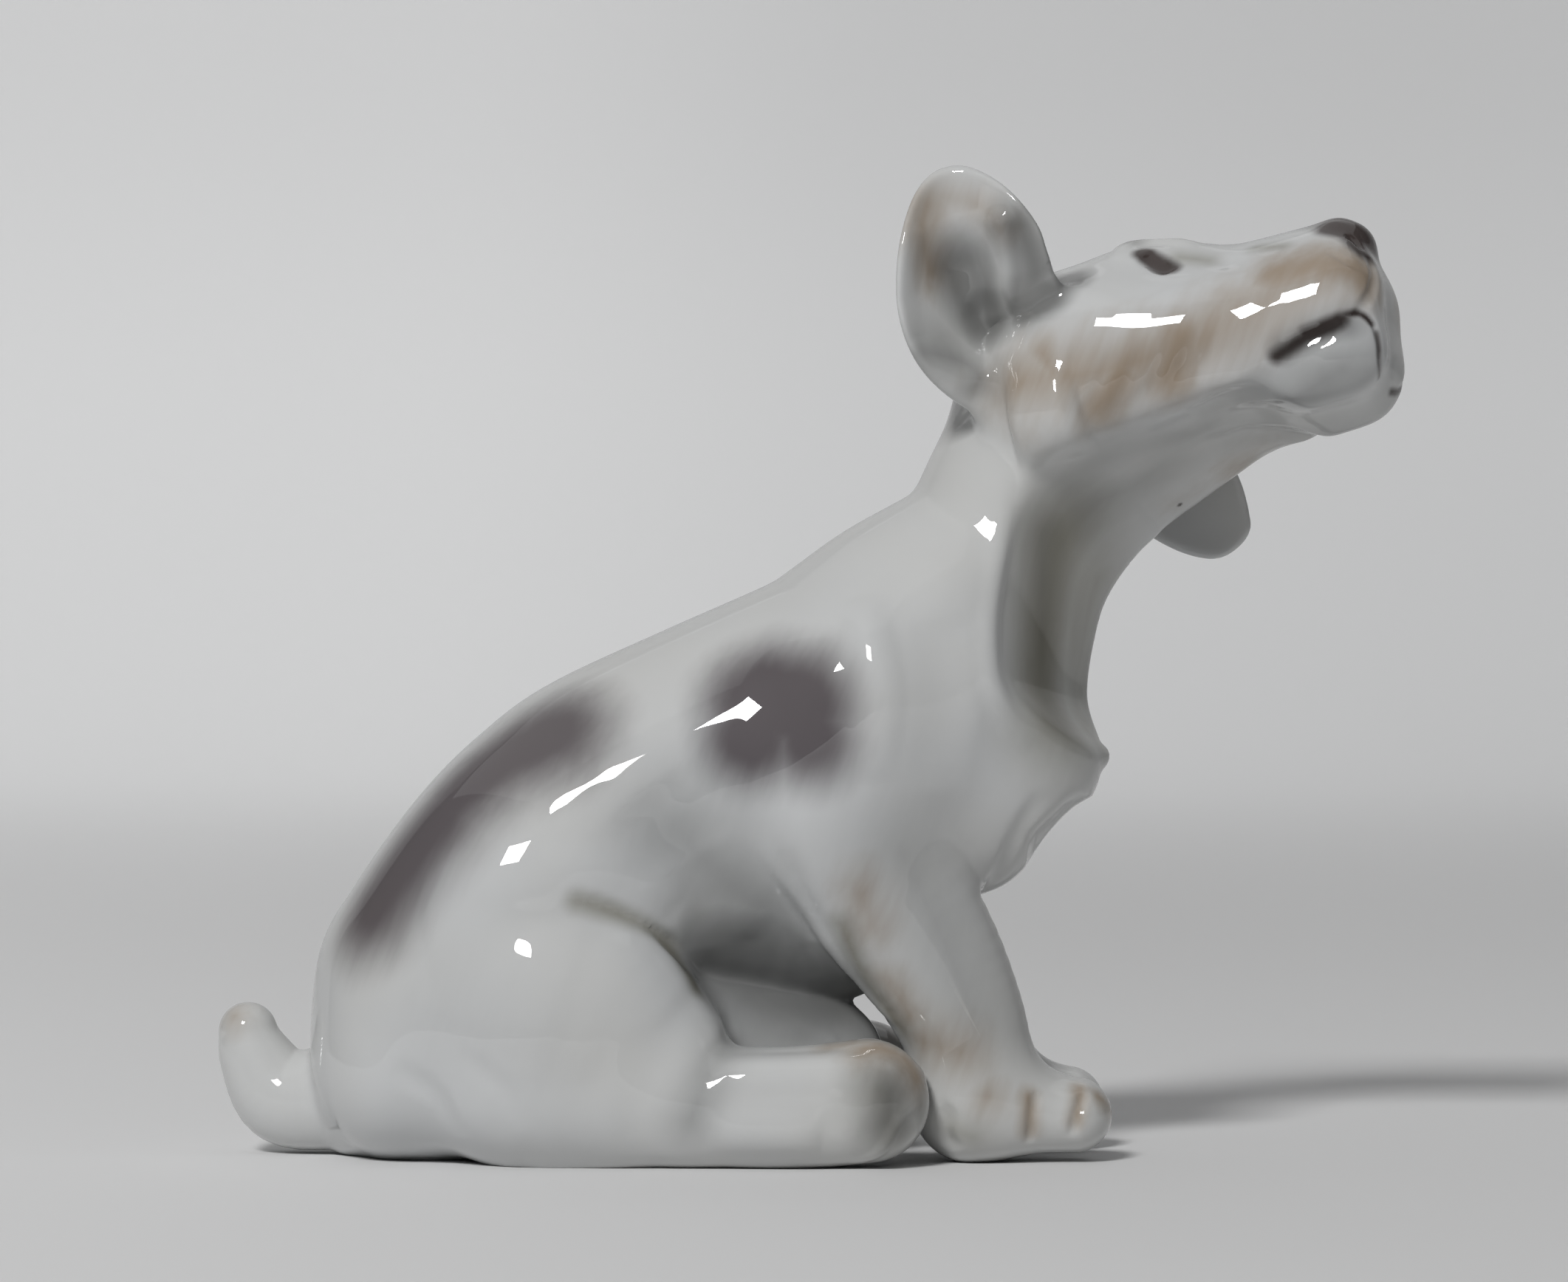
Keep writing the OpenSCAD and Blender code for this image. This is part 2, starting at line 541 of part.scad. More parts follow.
// Ears. Every row is a flat ring, so the joint with the head is flat as well.
function dish(s) = let (reach = s < dish_at_share ? dish_at_share : 1 - dish_at_share)
    1 - pow(abs(s - dish_at_share) / reach, dish_round_share);
function ear_point(r, u, face) =
    let (s = (u + 1) / 2, t = r[7] * ear_gain * sqrt(max(0, 1 - pow(abs(u), rim_round_share))))
    (mix([r[0], r[1], r[2]], [r[3], r[4], r[5]], s) + [0, r[6] * dish(s) - face * t / 2, 0]) * pc;
function ear_ring(r) = let (n = ear_sides / 4) concat(
    [for (i = [-n : n]) ear_point(r, sin(90 * i / n), 1)],
    [for (i = [n - 1 : -1 : 1 - n]) ear_point(r, sin(90 * i / n), -1)]);
function ear_rings(rows) = [for (r = smooth_rows(rows, 2)) ear_ring(r)];
function turned_rings(rings, side) = side > 0 ? rings
    : [for (r = rings) [for (i = [len(r) - 1 : -1 : 0]) r[i]]];
function chord_angle(r) = atan2(r[5] - r[2], r[3] - r[0]);

module ear(stub, rows, side) {
    r = ear_rings(concat(stub, rows));
    skin(turned_rings(last_rings(r, len(stub) * 2), side));
}

module ear_stub(stub, rows, side) {
    a = chord_angle(rows[0]);
    by = [-sin(a), 0, cos(a)] * side * slip_thick;
    r = ear_rings(concat(stub, rows));
    skin([for (q = turned_rings(first_rings(r, len(stub) * 2), side)) moved(q, -by)]);
}

// The slip is the outline of the joint's ring, drawn out towards the stub.
module ear_slip(row, side) {
    a = chord_angle(row);
    height = (row[2] * cos(a) - row[0] * sin(a)) * pc;
    outline = [for (p = ear_ring(row)) [p[0] * cos(a) + p[2] * sin(a), p[1]]];
    rotate([0, -a, 0])
        translate([0, 0, height - (side > 0 ? slip_thick : 0)])
            linear_extrude(slip_thick)
                polygon(outline);
}

module torso_casting() {
    color(glaze_white) difference() {
        union() {
            body_form();
            haunch_form();
            for (side = [-1, 1]) {
                limb_stub(sided(foreleg_rows, side), foreleg_masses(side), foreleg_joint);
                limb_stub(sided(foot_rows, side), foot_masses(side), foot_joint);
            }
            limb_stub(tail_rows, tail_masses, tail_joint);
        }
        body_hollow();
        haunch_hollow();
        translate([vent_x_share * pc, 0, -overrun])
            cylinder(d = vent_d, h = body_wall + overrun * 2, $fn = 48);
        below_ground();
    }
}

module head_casting() {
    color(glaze_white) difference() {
        union() {
            head_form();
            ear_stub(ear_right_stub_shares, ear_right_shares, 1);
            ear_stub(ear_left_stub_shares, ear_left_shares, -1);
        }
        head_hollow();
        for (side = [-1, 1]) {
            dimple(eye_from_shares, eye_way_shares, side, eye_out_share, eye_d);
            dimple(nostril_from_shares, nostril_way_shares, side, nostril_out_share, nostril_d);
        }
    }
}

module ear_right() {
    color(glaze_white) ear(ear_right_stub_shares, ear_right_shares, 1);
}

module ear_left() {
    color(glaze_white) ear(ear_left_stub_shares, ear_left_shares, -1);
}

module foreleg_right() {
    color(glaze_warm) foreleg(-1);
}

module foreleg_left() {
    color(glaze_warm) foreleg(1);
}

module hind_foot_right() {
    color(glaze_warm) hind_foot(-1);
}

module hind_foot_left() {
    color(glaze_warm) hind_foot(1);
}

module tail_casting() {
    color(glaze_white) difference() {
        limb(tail_rows, tail_masses, tail_joint);
        below_ground();
    }
}

module neck_slip() {
    color(slip_grey) neck_slip_form();
}

module ear_right_slip() {
    color(slip_grey) ear_slip(ear_right_shares[0], 1);
}

module ear_left_slip() {
    color(slip_grey) ear_slip(ear_left_shares[0], -1);
}

module foreleg_right_slip() {
    color(slip_grey) limb_slip(sided(foreleg_rows, -1), foreleg_masses(-1), foreleg_joint);
}

module foreleg_left_slip() {
    color(slip_grey) limb_slip(foreleg_rows, foreleg_masses(1), foreleg_joint);
}

module hind_foot_right_slip() {
    color(slip_grey) difference() {
        limb_slip(sided(foot_rows, -1), foot_masses(-1), foot_joint);
        below_ground();
    }
}

module hind_foot_left_slip() {
    color(slip_grey) difference() {
        limb_slip(foot_rows, foot_masses(1), foot_joint);
        below_ground();
    }
}

module tail_slip() {
    color(slip_grey) difference() {
        limb_slip(tail_rows, tail_masses, tail_joint);
        below_ground();
    }
}

torso_casting();
head_casting();
ear_right();
ear_left();
foreleg_right();
foreleg_left();
hind_foot_right();
hind_foot_left();
tail_casting();
neck_slip();
ear_right_slip();
ear_left_slip();
foreleg_right_slip();
foreleg_left_slip();
hind_foot_right_slip();
hind_foot_left_slip();
tail_slip();
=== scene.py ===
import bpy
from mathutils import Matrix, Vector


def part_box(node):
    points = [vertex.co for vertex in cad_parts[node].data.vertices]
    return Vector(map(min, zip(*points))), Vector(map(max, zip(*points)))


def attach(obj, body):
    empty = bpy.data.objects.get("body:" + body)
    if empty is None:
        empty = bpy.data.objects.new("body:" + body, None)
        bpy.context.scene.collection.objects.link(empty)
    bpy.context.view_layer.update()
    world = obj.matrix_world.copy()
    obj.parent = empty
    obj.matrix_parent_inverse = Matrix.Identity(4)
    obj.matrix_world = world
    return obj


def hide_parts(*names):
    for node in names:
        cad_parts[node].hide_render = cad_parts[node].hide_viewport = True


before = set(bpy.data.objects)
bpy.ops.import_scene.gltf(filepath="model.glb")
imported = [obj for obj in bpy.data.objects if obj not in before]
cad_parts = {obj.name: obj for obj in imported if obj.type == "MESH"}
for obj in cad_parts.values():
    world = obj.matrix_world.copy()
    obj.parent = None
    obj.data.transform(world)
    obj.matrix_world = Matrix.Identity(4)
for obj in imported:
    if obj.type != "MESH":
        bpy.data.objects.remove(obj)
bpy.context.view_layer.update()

import copy
import math

import bmesh
import bpy
import numpy as np
import openvdb as vdb
from mathutils import Vector

# A seated porcelain puppy. All clay is worked in shares, hundredths of the figure's length,
# as gaps: how far a place lies from the clay, below zero inside it.
SHARE, SHARE_MM = 0.00176, 1.76
FAR = 40.0
TINY = 1e-9

# The camera of the photograph. Pixels are those of the photograph at 2000 pixels wide.
CAMERA = (-0.0035, -0.904, 0.077)
PHOTO_WIDTH, PHOTO_FOCUS, SENSOR = 2123, 8163, 36
FOCUS = 7690.0
MIDDLE = (1000.0, 817.7)
EYE = np.array(CAMERA) / SHARE
PIXEL = -EYE[1] / FOCUS


def sight(col, row):
    """The way from the camera through a pixel."""
    v = np.array([(col - MIDDLE[0]) / FOCUS, 1.0, -(row - MIDDLE[1]) / FOCUS])
    return v / np.linalg.norm(v)


class Block:
    """Places on a regular grid."""

    def __init__(self, low, high, cell):
        self.low, self.cell = np.array(low, float), cell
        n = np.ceil((np.array(high) - self.low) / cell).astype(int) + 1
        self.axes = [(self.low[i] + cell * np.arange(n[i])).astype(np.float32) for i in range(3)]
        self.shape = tuple(n)

    def full(self, value=FAR):
        return np.full(self.shape, value, np.float32)

    def part(self, low, high):
        cut = []
        for i in range(3):
            a = int(np.searchsorted(self.axes[i], low[i]))
            b = int(np.searchsorted(self.axes[i], high[i]))
            cut.append(slice(a, max(a, b)))
        x, y, z = (self.axes[i][cut[i]] for i in range(3))
        return tuple(cut), x[:, None, None], y[None, :, None], z[None, None, :]

    def all(self):
        return self.part([-np.inf] * 3, [np.inf] * 3)


class Points:
    """Places in a plain list."""

    def __init__(self, at):
        self.at = np.asarray(at, np.float64)
        self.shape = (len(self.at),)

    def full(self, value=FAR):
        return np.full(self.shape, value)

    def part(self, low, high):
        found = np.nonzero(np.all((self.at > low) & (self.at < high), axis=1))[0]
        p = self.at[found]
        return found, p[:, 0], p[:, 1], p[:, 2]

    def all(self):
        return slice(None), self.at[:, 0], self.at[:, 1], self.at[:, 2]


def blended(a, b, k):
    """Two forms together, with their corner filled over a reach of k."""
    h = np.maximum(k - np.abs(a - b), 0)
    return np.minimum(a, b) - h * h / np.maximum(4 * k, 1e-6)


def carved(a, b, k):
    """What two forms share, with its corner rounded."""
    return -blended(-a, -b, k)


def ramp(v, a, b):
    """A soft rise from 0 at a to 1 at b."""
    t = np.clip((v - a) / (b - a), 0, 1)
    return t * t * (3 - 2 * t)


# The reach over which gaps are evened out.
EVENED = 0.45


def smoothed(d, space):
    """Gaps evened out, so that no row of the tables shows as a crease."""
    if not isinstance(space, Block):
        return d
    for _ in range(max(1, round(2 * (EVENED / space.cell) ** 2))):
        for axis in range(3):
            e = np.moveaxis(d, axis, 0)
            e[1:-1] = (e[:-2] + 2 * e[1:-1] + e[2:]) / 4
    return d


def smooth_rows(rows, n, still=()):
    """Rows drawn through by a smooth curve. Columns in still start and end without growing."""
    rows = np.asarray(rows, float)
    if len(rows) < 3:
        return rows
    out = []
    for i in range(len(rows) - 1):
        a, b = rows[max(i - 1, 0)].copy(), rows[i]
        c, d = rows[i + 1], rows[min(i + 2, len(rows) - 1)].copy()
        for column in still:
            if i == 0:
                a[column] = c[column]
            if i == len(rows) - 2:
                d[column] = b[column]
        for j in range(n):
            t = j / n
            out.append((2 * b + (c - a) * t + (2 * a - 5 * b + 4 * c - d) * t * t
                        + (3 * b - a - 3 * c + d) * t ** 3) / 2)
    out.append(rows[-1])
    return np.array(out)


# The head leans to its side, lifts its nose and turns to the viewer, in degrees.
HEAD_LEAN, HEAD_LIFT, HEAD_TURN = 20, 14, 17
HEAD_PLACE = (23.1, 0.0, 68.0)


def turned(v, a, b, degrees):
    """A way turned in the plane of its parts a and b."""
    c, s = math.cos(math.radians(degrees)), math.sin(math.radians(degrees))
    out = np.array(v, float)
    out[a], out[b] = v[a] * c + v[b] * s, v[b] * c - v[a] * s
    return out


def head_way(v):
    return turned(turned(turned(v, 1, 2, HEAD_LEAN), 2, 0, HEAD_LIFT), 0, 1, HEAD_TURN)


# Each a place and three ways: the body's own, and the head's.
WORLD = (np.zeros(3), np.eye(3))
HEAD = (np.array(HEAD_PLACE), np.array([head_way(e) for e in np.eye(3)]))


def placed(v, f):
    return f[0] + np.asarray(v, float) @ f[1]


def off_stretch(x, y, z, a, run):
    """Where places lie along a stretch, from 0 to 1, and their ways off it."""
    x, y, z = x - a[0], y - a[1], z - a[2]
    t = np.clip((x * run[0] + y * run[1] + z * run[2]) / max(float(run @ run), TINY), 0, 1)
    return t, x - t * run[0], y - t * run[1], z - t * run[2]


# How far from a mass its gaps are worked out.
MARGIN = 5.5


class Run:
    """A run of round masses: x, y, z, radius and the share of it across the body."""

    def __init__(self, rows, blend, f=WORLD, side=1, fine=6):
        rows = smooth_rows(rows, fine, (3, 4)).copy()
        rows[:, 1] *= side
        self.blend, self.across = blend, f[1][1]
        at = placed(rows[:, :3], f)
        wide = rows[:, 3] * np.maximum(1, rows[:, 4])
        self.stretches = []
        for i in range(len(rows) - 1):
            a, b, reach = at[i], at[i + 1], max(wide[i], wide[i + 1])
            self.stretches.append((a, b - a, rows[i, 3:], (rows[i + 1] - rows[i])[3:],
                                   np.minimum(a, b) - reach, np.maximum(a, b) + reach))

    def gaps(self, space):
        d = space.full()
        s = self.across
        for a, run, (r, w), (dr, dw), low, high in self.stretches:
            cut, x, y, z = space.part(low - MARGIN, high + MARGIN)
            t, x, y, z = off_stretch(x, y, z, a, run)
            n = x * s[0] + y * s[1] + z * s[2]
            n = n / (w + t * dw) - n
            g = np.sqrt((x + s[0] * n) ** 2 + (y + s[1] * n) ** 2 + (z + s[2] * n) ** 2)
            d[cut] = np.minimum(d[cut], g - r - t * dr)
        return d


def both(rows, blend, f=WORLD):
    """A run on each side of the middle."""
    return [Run(rows, blend, f, side) for side in (-1, 1)]


# An ear: how fine it is drawn, where across it is deepest, how its dish rises to the rim, how
# far the rim lies inside the outline, and the room round it.
LEAF_STEPS = 5
DEEPEST, DISH_POWER = 0.56, 2.2
RIM_SHARE = 0.9
LEAF_ROOM = (3, 5, 3)


class Leaf:
    """An ear: an outline across x and z, a bent middle face and a thickness."""

    def __init__(self, rows, dents=()):
        rows = np.asarray(rows, float)
        self.edge = rounded(np.vstack([rows[:, [0, 2]], rows[::-1][:, [3, 5]]]), 3)
        rows = smooth_rows(rows, LEAF_STEPS)
        at, back = [], []
        for r in rows:
            for s in np.linspace(0, 1, 11):
                reach = DEEPEST if s < DEEPEST else 1 - DEEPEST
                dish = 1 - (abs(s - DEEPEST) / reach) ** DISH_POWER
                p = r[:3] * (1 - s) + r[3:6] * s
                at.append((p[0], p[2]))
                back.append(p[1] + r[6] * dish)
        self.mid = np.mean(at, axis=0)
        self.fit = np.linalg.lstsq(self.terms(*np.array(at).T), np.array(back), rcond=None)[0]
        self.thick = float(np.mean(rows[:, 7]))
        self.dents = dents
        low, high = self.edge.min(axis=0), self.edge.max(axis=0)
        self.low = np.array([low[0], min(back), low[1]]) - LEAF_ROOM
        self.high = np.array([high[0], max(back), high[1]]) + LEAF_ROOM

    def terms(self, x, z):
        x, z = (x - self.mid[0]) / 10, (z - self.mid[1]) / 10
        return np.stack([x ** 0, x, z, x * x, x * z, z * z, x ** 3, x * x * z, x * z * z,
                         z ** 3], axis=-1)

    def sheet(self, x, z):
        """The middle face of the ear, with its dents."""
        x, z = np.broadcast_arrays(x, z)
        y = self.terms(x, z) @ self.fit
        for line, r, depth in self.dents:
            y = y + depth * bump(flat_away(x, z, line) / r)
        return y

    def inside(self, x, z):
        """How far places lie outside the outline, below zero within it."""
        x, z = np.broadcast_arrays(x, z)
        best, side = np.full(x.shape, np.inf), np.zeros(x.shape, bool)
        e = self.edge
        for a, b in zip(e, np.roll(e, -1, axis=0)):
            run = b - a
            if run @ run < 1e-9:
                continue
            t = np.clip(((x - a[0]) * run[0] + (z - a[1]) * run[1]) / (run @ run), 0, 1)
            best = np.minimum(best, (x - a[0] - t * run[0]) ** 2 + (z - a[1] - t * run[1]) ** 2)
            over = (a[1] > z) != (b[1] > z)
            if a[1] != b[1]:
                side ^= over & (x < run[0] * (z - a[1]) / run[1] + a[0])
        return np.where(side, -1, 1) * np.sqrt(best)

    def gaps(self, space):
        d = space.full()
        cut, x, y, z = space.part(self.low, self.high)
        r = self.thick / 2
        u = np.maximum(self.inside(x, z) + r * RIM_SHARE, 0)
        d[cut] = np.sqrt(u * u + (y - self.sheet(x, z)) ** 2) - r
        return d


def rounded(line, times):
    """A closed outline with its corners cut again and again."""
    for _ in range(times):
        after = np.roll(line, -1, axis=0)
        pair = [0.75 * line + 0.25 * after, 0.25 * line + 0.75 * after]
        line = np.stack(pair, axis=1).reshape(-1, 2)
    return line


def flat_away(x, z, line):
    """How far places lie from a line, seen along y."""
    best = np.inf
    for a, b in zip(line[:-1], line[1:]):
        rx, rz = b[0] - a[0], b[1] - a[1]
        t = np.clip(((x - a[0]) * rx + (z - a[1]) * rz) / (rx * rx + rz * rz), 0, 1)
        best = np.minimum(best, (x - a[0] - t * rx) ** 2 + (z - a[1] - t * rz) ** 2)
    return np.sqrt(best)


def bump(q):
    """A round rise: full at 0, gone at 1."""
    return np.maximum(1 - q * q, 0) ** 2


def keen(q):
    """A rise with a keen middle."""
    return np.maximum(1 - q, 0) ** 2


def cone(q):
    """A straight rise."""
    return np.maximum(1 - q, 0)


# How fine a touch is drawn, how long a dot is, and how a tool's mark fades at its ends.
TOUCH_STEPS, DOT = 4, 1e-3
FADING_ENDS, FADING_POWER = 0.25, 0.7


class Touch:
    """A stroke of tool or brush along a line of points."""

    def __init__(self, at, radius, depth, shape, ends=0):
        at = np.asarray(at, float)
        if len(at) == 1:
            at, ends = np.vstack([at, at + DOT]), 0
        self.at = at = smooth_rows(at, TOUCH_STEPS)
        self.radius, self.depth, self.shape = radius, depth, shape
        run = np.linalg.norm(np.diff(at, axis=0), axis=1)
        t = np.concatenate([[0], np.cumsum(run)]) / run.sum()
        self.level = np.ones(len(at))
        if ends:
            self.level = np.clip(np.minimum(t, 1 - t) / ends, 0, 1) ** FADING_POWER
        self.bounds()

    def bounds(self):
        self.low, self.high = self.at.min(axis=0) - self.radius, self.at.max(axis=0) + self.radius

    def press(self, space):
        """The places that the stroke reaches, and how much it adds there."""
        cut, x, y, z = space.part(self.low, self.high)
        shape = np.broadcast_shapes(x.shape, y.shape, z.shape)
        best, level = np.full(shape, np.inf), np.zeros(shape)
        for i in range(len(self.at) - 1):
            t, dx, dy, dz = off_stretch(x, y, z, self.at[i], self.at[i + 1] - self.at[i])
            q = dx ** 2 + dy ** 2 + dz ** 2
            near = q < best
            level = np.where(near, self.level[i] + t * (self.level[i + 1] - self.level[i]), level)
            best = np.where(near, q, best)
        return cut, self.depth * level * self.shape(np.sqrt(best) / self.radius)

    def mirrored(self, f):
        other = copy.copy(self)
        local = (self.at - f[0]) @ f[1].T
        local[:, 1] *= -1
        other.at = placed(local, f)
        other.bounds()
        return other


def face_gaps(x, y, z, at, out, along, bend, twist, foot, front):
    """A shallow hollow face: a place, the way out of it, the way along it and how it bends."""
    across = np.cross(out, along)
    x, y, z = x - at[0], y - at[1], z - at[2]
    u = x * along[0] + y * along[1] + z * along[2]
    v = x * across[0] + y * across[1] + z * across[2]
    return (x * out[0] + y * out[1] + z * out[2] - bend * u * u - twist * u * v
            - foot * np.maximum(FACE_FOOT - u, 0) ** 2 - front * np.maximum(u - FACE_FRONT, 0) ** 2)


# The masses, as in the castings' source: x, y, z, radius and the share of it across the body.
# An ear's rows hold its back edge, its front edge, how far it is dished and its thickness.
TRUNK = [[-29.4, 0.4, 14.0, 12.6, 1.12], [-25.8, 0.2, 18.5, 13.1, 1.08],
         [-22.0, 0.0, 22.6, 13.6, 1.05], [-18.4, 0.0, 25.5, 14.0, 1.01],
         [-14.7, 0.0, 27.9, 14.2, 0.98], [-6.0, 0.0, 31.9, 14.2, 0.92],
         [3.4, 0.0, 36.2, 14.1, 0.9], [7.0, 0.0, 38.8, 13.9, 0.89], [10.0, 0.0, 41.6, 13.4, 0.88],
         [13.1, 0.0, 44.6, 12.3, 0.87], [15.5, 0.0, 47.6, 10.9, 0.86],
         [17.4, 0.0, 51.6, 9.7, 0.88], [18.6, 0.0, 55.6, 9.0, 0.9], [20.3, 0.0, 59.6, 8.7, 0.93],
         [22.5, 0.0, 63.6, 8.5, 0.95]]
SHOULDER = [[5.3, 7.4, 38.3, 7.9, 0.75], [3.3, 7.4, 29.1, 7.2, 0.72]]
CHEST = [[18.6, 0.0, 33.7, 6.5, 1.1], [13.7, 0.0, 28.2, 6.1, 1.2]]
BELLY = [[-8.0, 0.0, 21.5, 8.0, 1.0], [3.4, 0.0, 18.9, 5.4, 1.05], [6.6, 0.0, 20.9, 5.4, 1.05]]
THROAT = [[21.1, 1.5, 52.9, 5.9, 0.85], [18.0, 1.5, 44.9, 6.0, 0.95], [17.4, 0.8, 38.3, 6.4, 1.0]]
THIGH = [[-21.0, 9.7, 10.6, 11.7, 0.7], [-14.3, 10.2, 8.4, 8.0, 0.78],
         [-10.4, 10.8, 6.2, 5.5, 0.95]]
SEAT = [[-34.6, 0.0, 6.4, 6.9, 1.8], [-25.0, 0.0, 6.2, 6.8, 1.9], [-15.3, 0.0, 5.4, 6.3, 2.0]]
LAP = [[-12.0, 0.0, 12.0, 8.2, 1.0], [1.5, 0.0, 8.3, 5.0, 1.0]]
FORELEG = [[2.0, 6.8, 27.8, 7.1, 0.8], [8.6, 6.8, 19.9, 6.4, 0.8], [12.6, 6.8, 12.6, 5.5, 0.88],
           [13.9, 6.8, 7.4, 5.1, 0.95], [13.9, 6.8, 5.4, 4.6, 1.0]]
PAW = [[13.8, 6.8, 4.7, 4.1, 1.1], [22.4, 6.4, 3.9, 3.2, 1.35]]
FOOT = [[-15.0, 12.0, 5.6, 5.1, 0.9], [-3.3, 12.5, 4.9, 5.1, 0.95], [4.9, 12.5, 5.5, 5.2, 1.0]]
TAIL = [[-40.0, 1.1, 4.8, 4.4, 1.0], [-44.6, 1.7, 4.8, 4.1, 1.0], [-47.1, 1.7, 8.1, 3.1, 1.0],
        [-47.8, 1.7, 10.4, 2.5, 1.0]]
JAW_LINE = [[22.9, 2.4, 55.6, 6.6, 0.9], [29.9, 1.2, 60.0, 6.4, 0.95], [37.3, -1.8, 64.0, 5.6, 1.0],
            [43.2, -4.3, 66.7, 4.8, 1.0]]
SKULL = [[-1.7, 0.0, -1.1, 8.2, 1.1], [3.4, 0.0, -0.6, 8.0, 1.1]]
BROW = [[7.4, 2.8, 2.3, 4.3, 1.0], [10.2, 2.3, 2.3, 3.7, 1.0]]
MUZZLE = [[10.2, 0.0, 0.0, 5.7, 1.0], [21.6, 0.0, 0.6, 5.0, 1.0]]
LIP = [[12.5, 3.4, -2.3, 4.8, 0.85], [22.7, 2.6, -2.0, 4.7, 0.9]]
CHEEK = [[0.0, 5.1, -4.5, 6.3, 0.85], [9.1, 4.0, -5.1, 5.7, 0.85]]
CHIN = [[14.8, 3.4, -7.4, 4.5, 0.9], [22.7, 2.6, -7.1, 4.3, 0.9]]
NOSE = [[24.1, 0.0, 3.5, 2.3, 1.45], [24.8, 0.0, 3.1, 2.2, 1.45]]
NEAR_EAR = [[17.2, -4.0, 61.6, 22.6, -5.1, 71.4, 0.3, 1.9],
            [15.3, -5.7, 62.4, 21.2, -7.4, 72.8, 0.7, 1.8],
            [13.3, -7.7, 63.2, 20.2, -9.4, 74.3, 1.7, 1.7],
            [10.5, -9.7, 65.2, 20.1, -10.5, 75.5, 2.6, 1.6],
            [8.5, -10.5, 67.8, 19.8, -11.1, 76.7, 3.0, 1.55],
            [7.4, -10.8, 71.4, 19.3, -11.1, 78.2, 2.8, 1.5],
            [7.4, -10.5, 75.3, 18.2, -10.8, 79.8, 2.4, 1.4],
            [8.1, -9.7, 79.0, 16.6, -10.0, 81.6, 1.7, 1.35],
            [9.2, -8.8, 81.7, 14.8, -9.1, 82.9, 1.0, 1.3],
            [10.8, -8.3, 83.3, 12.9, -8.3, 83.7, 0.3, 1.2]]
FAR_EAR = [[21.3, 4.5, 63.8, 26.4, 5.7, 72.0, 0.3, 1.8],
           [21.4, 6.8, 62.2, 27.9, 7.9, 70.4, 0.6, 1.8],
           [22.5, 8.5, 59.9, 30.7, 9.6, 67.4, 1.1, 1.7],
           [24.9, 9.6, 56.9, 33.8, 10.5, 64.0, 1.4, 1.6],
           [28.0, 10.2, 54.2, 36.2, 10.8, 60.6, 1.4, 1.5],
           [30.7, 9.9, 52.3, 37.7, 10.5, 57.6, 1.1, 1.4],
           [33.4, 9.6, 51.1, 38.3, 9.9, 55.3, 0.8, 1.35],
           [36.1, 9.1, 50.8, 38.6, 9.3, 53.0, 0.3, 1.25]]

# How softly a mass blends into the rest.
SOFT, MID, FIRM, CRISP = 4.5, 3.4, 2.3, 0.9
trunk_clay = [Run(TRUNK, MID, fine=9), *both(SHOULDER, SOFT), Run(CHEST, SOFT), Run(BELLY, MID),
              Run(THROAT, MID)]
haunch_clay = [*both(THIGH, MID), Run(SEAT, MID), Run(LAP, MID)]
head_clay = [Run(JAW_LINE, SOFT), Run(SKULL, MID, HEAD), *both(BROW, FIRM, HEAD),
             Run(MUZZLE, MID, HEAD), *both(LIP, FIRM, HEAD), *both(CHEEK, MID, HEAD),
             *both(CHIN, FIRM, HEAD), Run(NOSE, CRISP, HEAD)]

# Joints: a place, the way from the body into the limb, and how far the limb's ring reaches.
JOINTS = {
    "neck": ((19.4, 0.0, 55.6), (0.5, 0.0, 0.866), 22.0),
    "foreleg_right": ((10.8, -6.8, 16.0), (0.559, 0.0, -0.829), 8.0),
    "foreleg_left": ((10.8, 6.8, 16.0), (0.559, 0.0, -0.829), 8.0),
    "hind_foot_right": ((-3.3, -12.5, 5.2), (1.0, 0.0, 0.0), 7.0),
    "hind_foot_left": ((-3.3, 12.5, 5.2), (1.0, 0.0, 0.0), 7.0),
    "tail": ((-43.6, 1.4, 4.8), (-1.0, 0.0, 0.0), 7.0),
    "ear_right": ((15.3, -10.1, 70.35), (-0.7315, 0.0, 0.682), 10.0),
    "ear_left": ((29.35, 10.05, 60.45), (0.6236, 0.0, -0.7817), 10.0),
}
SLIP = 0.6 / SHARE_MM
# A limb blends softly up to its joint and crisply past it, and is drawn a little further.
SOFTENS = (-0.4, -4.5)
PAST = 1.2
# The fold between body and haunch, and where it fades towards the rump.
FOLD, FOLD_FADED, FADES = 1.0, 4.0, (-22.0, -35.0)
# Where the near ear lies across the body.
EAR_Y = -10.0


def beyond(joint, space):
    """How far places lie past a joint, on the limb's side."""
    _, x, y, z = space.all()
    at, way, _ = JOINTS[joint]
    return (x - at[0]) * way[0] + (y - at[1]) * way[1] + (z - at[2]) * way[2]


def ear_line(*pixels):
    """The x and z of pixels on the near ear."""
    ways = [sight(col, row) for col, row in pixels]
    return [(EYE + way * (EAR_Y - EYE[1]) / way[1])[[0, 2]] for way in ways]


# Dents in the near ear: a line, its radius and how deep it goes.
NEAR_DENTS = (
    (ear_line((1232, 345), (1252, 412)), 5.0, 2.1),
    (ear_line((1262, 400), (1270, 425)), 2.6, 0.9),
    (ear_line((1300, 300), (1316, 350)), 2.8, 0.6),
    (ear_line((1276, 285), (1282, 350), (1277, 398)), 1.6, -0.8),
    (ear_line((1180, 455), (1225, 480), (1262, 478)), 2.0, -0.5),
    (ear_line((1160, 300), (1150, 380), (1160, 440)), 1.6, -0.4),
)
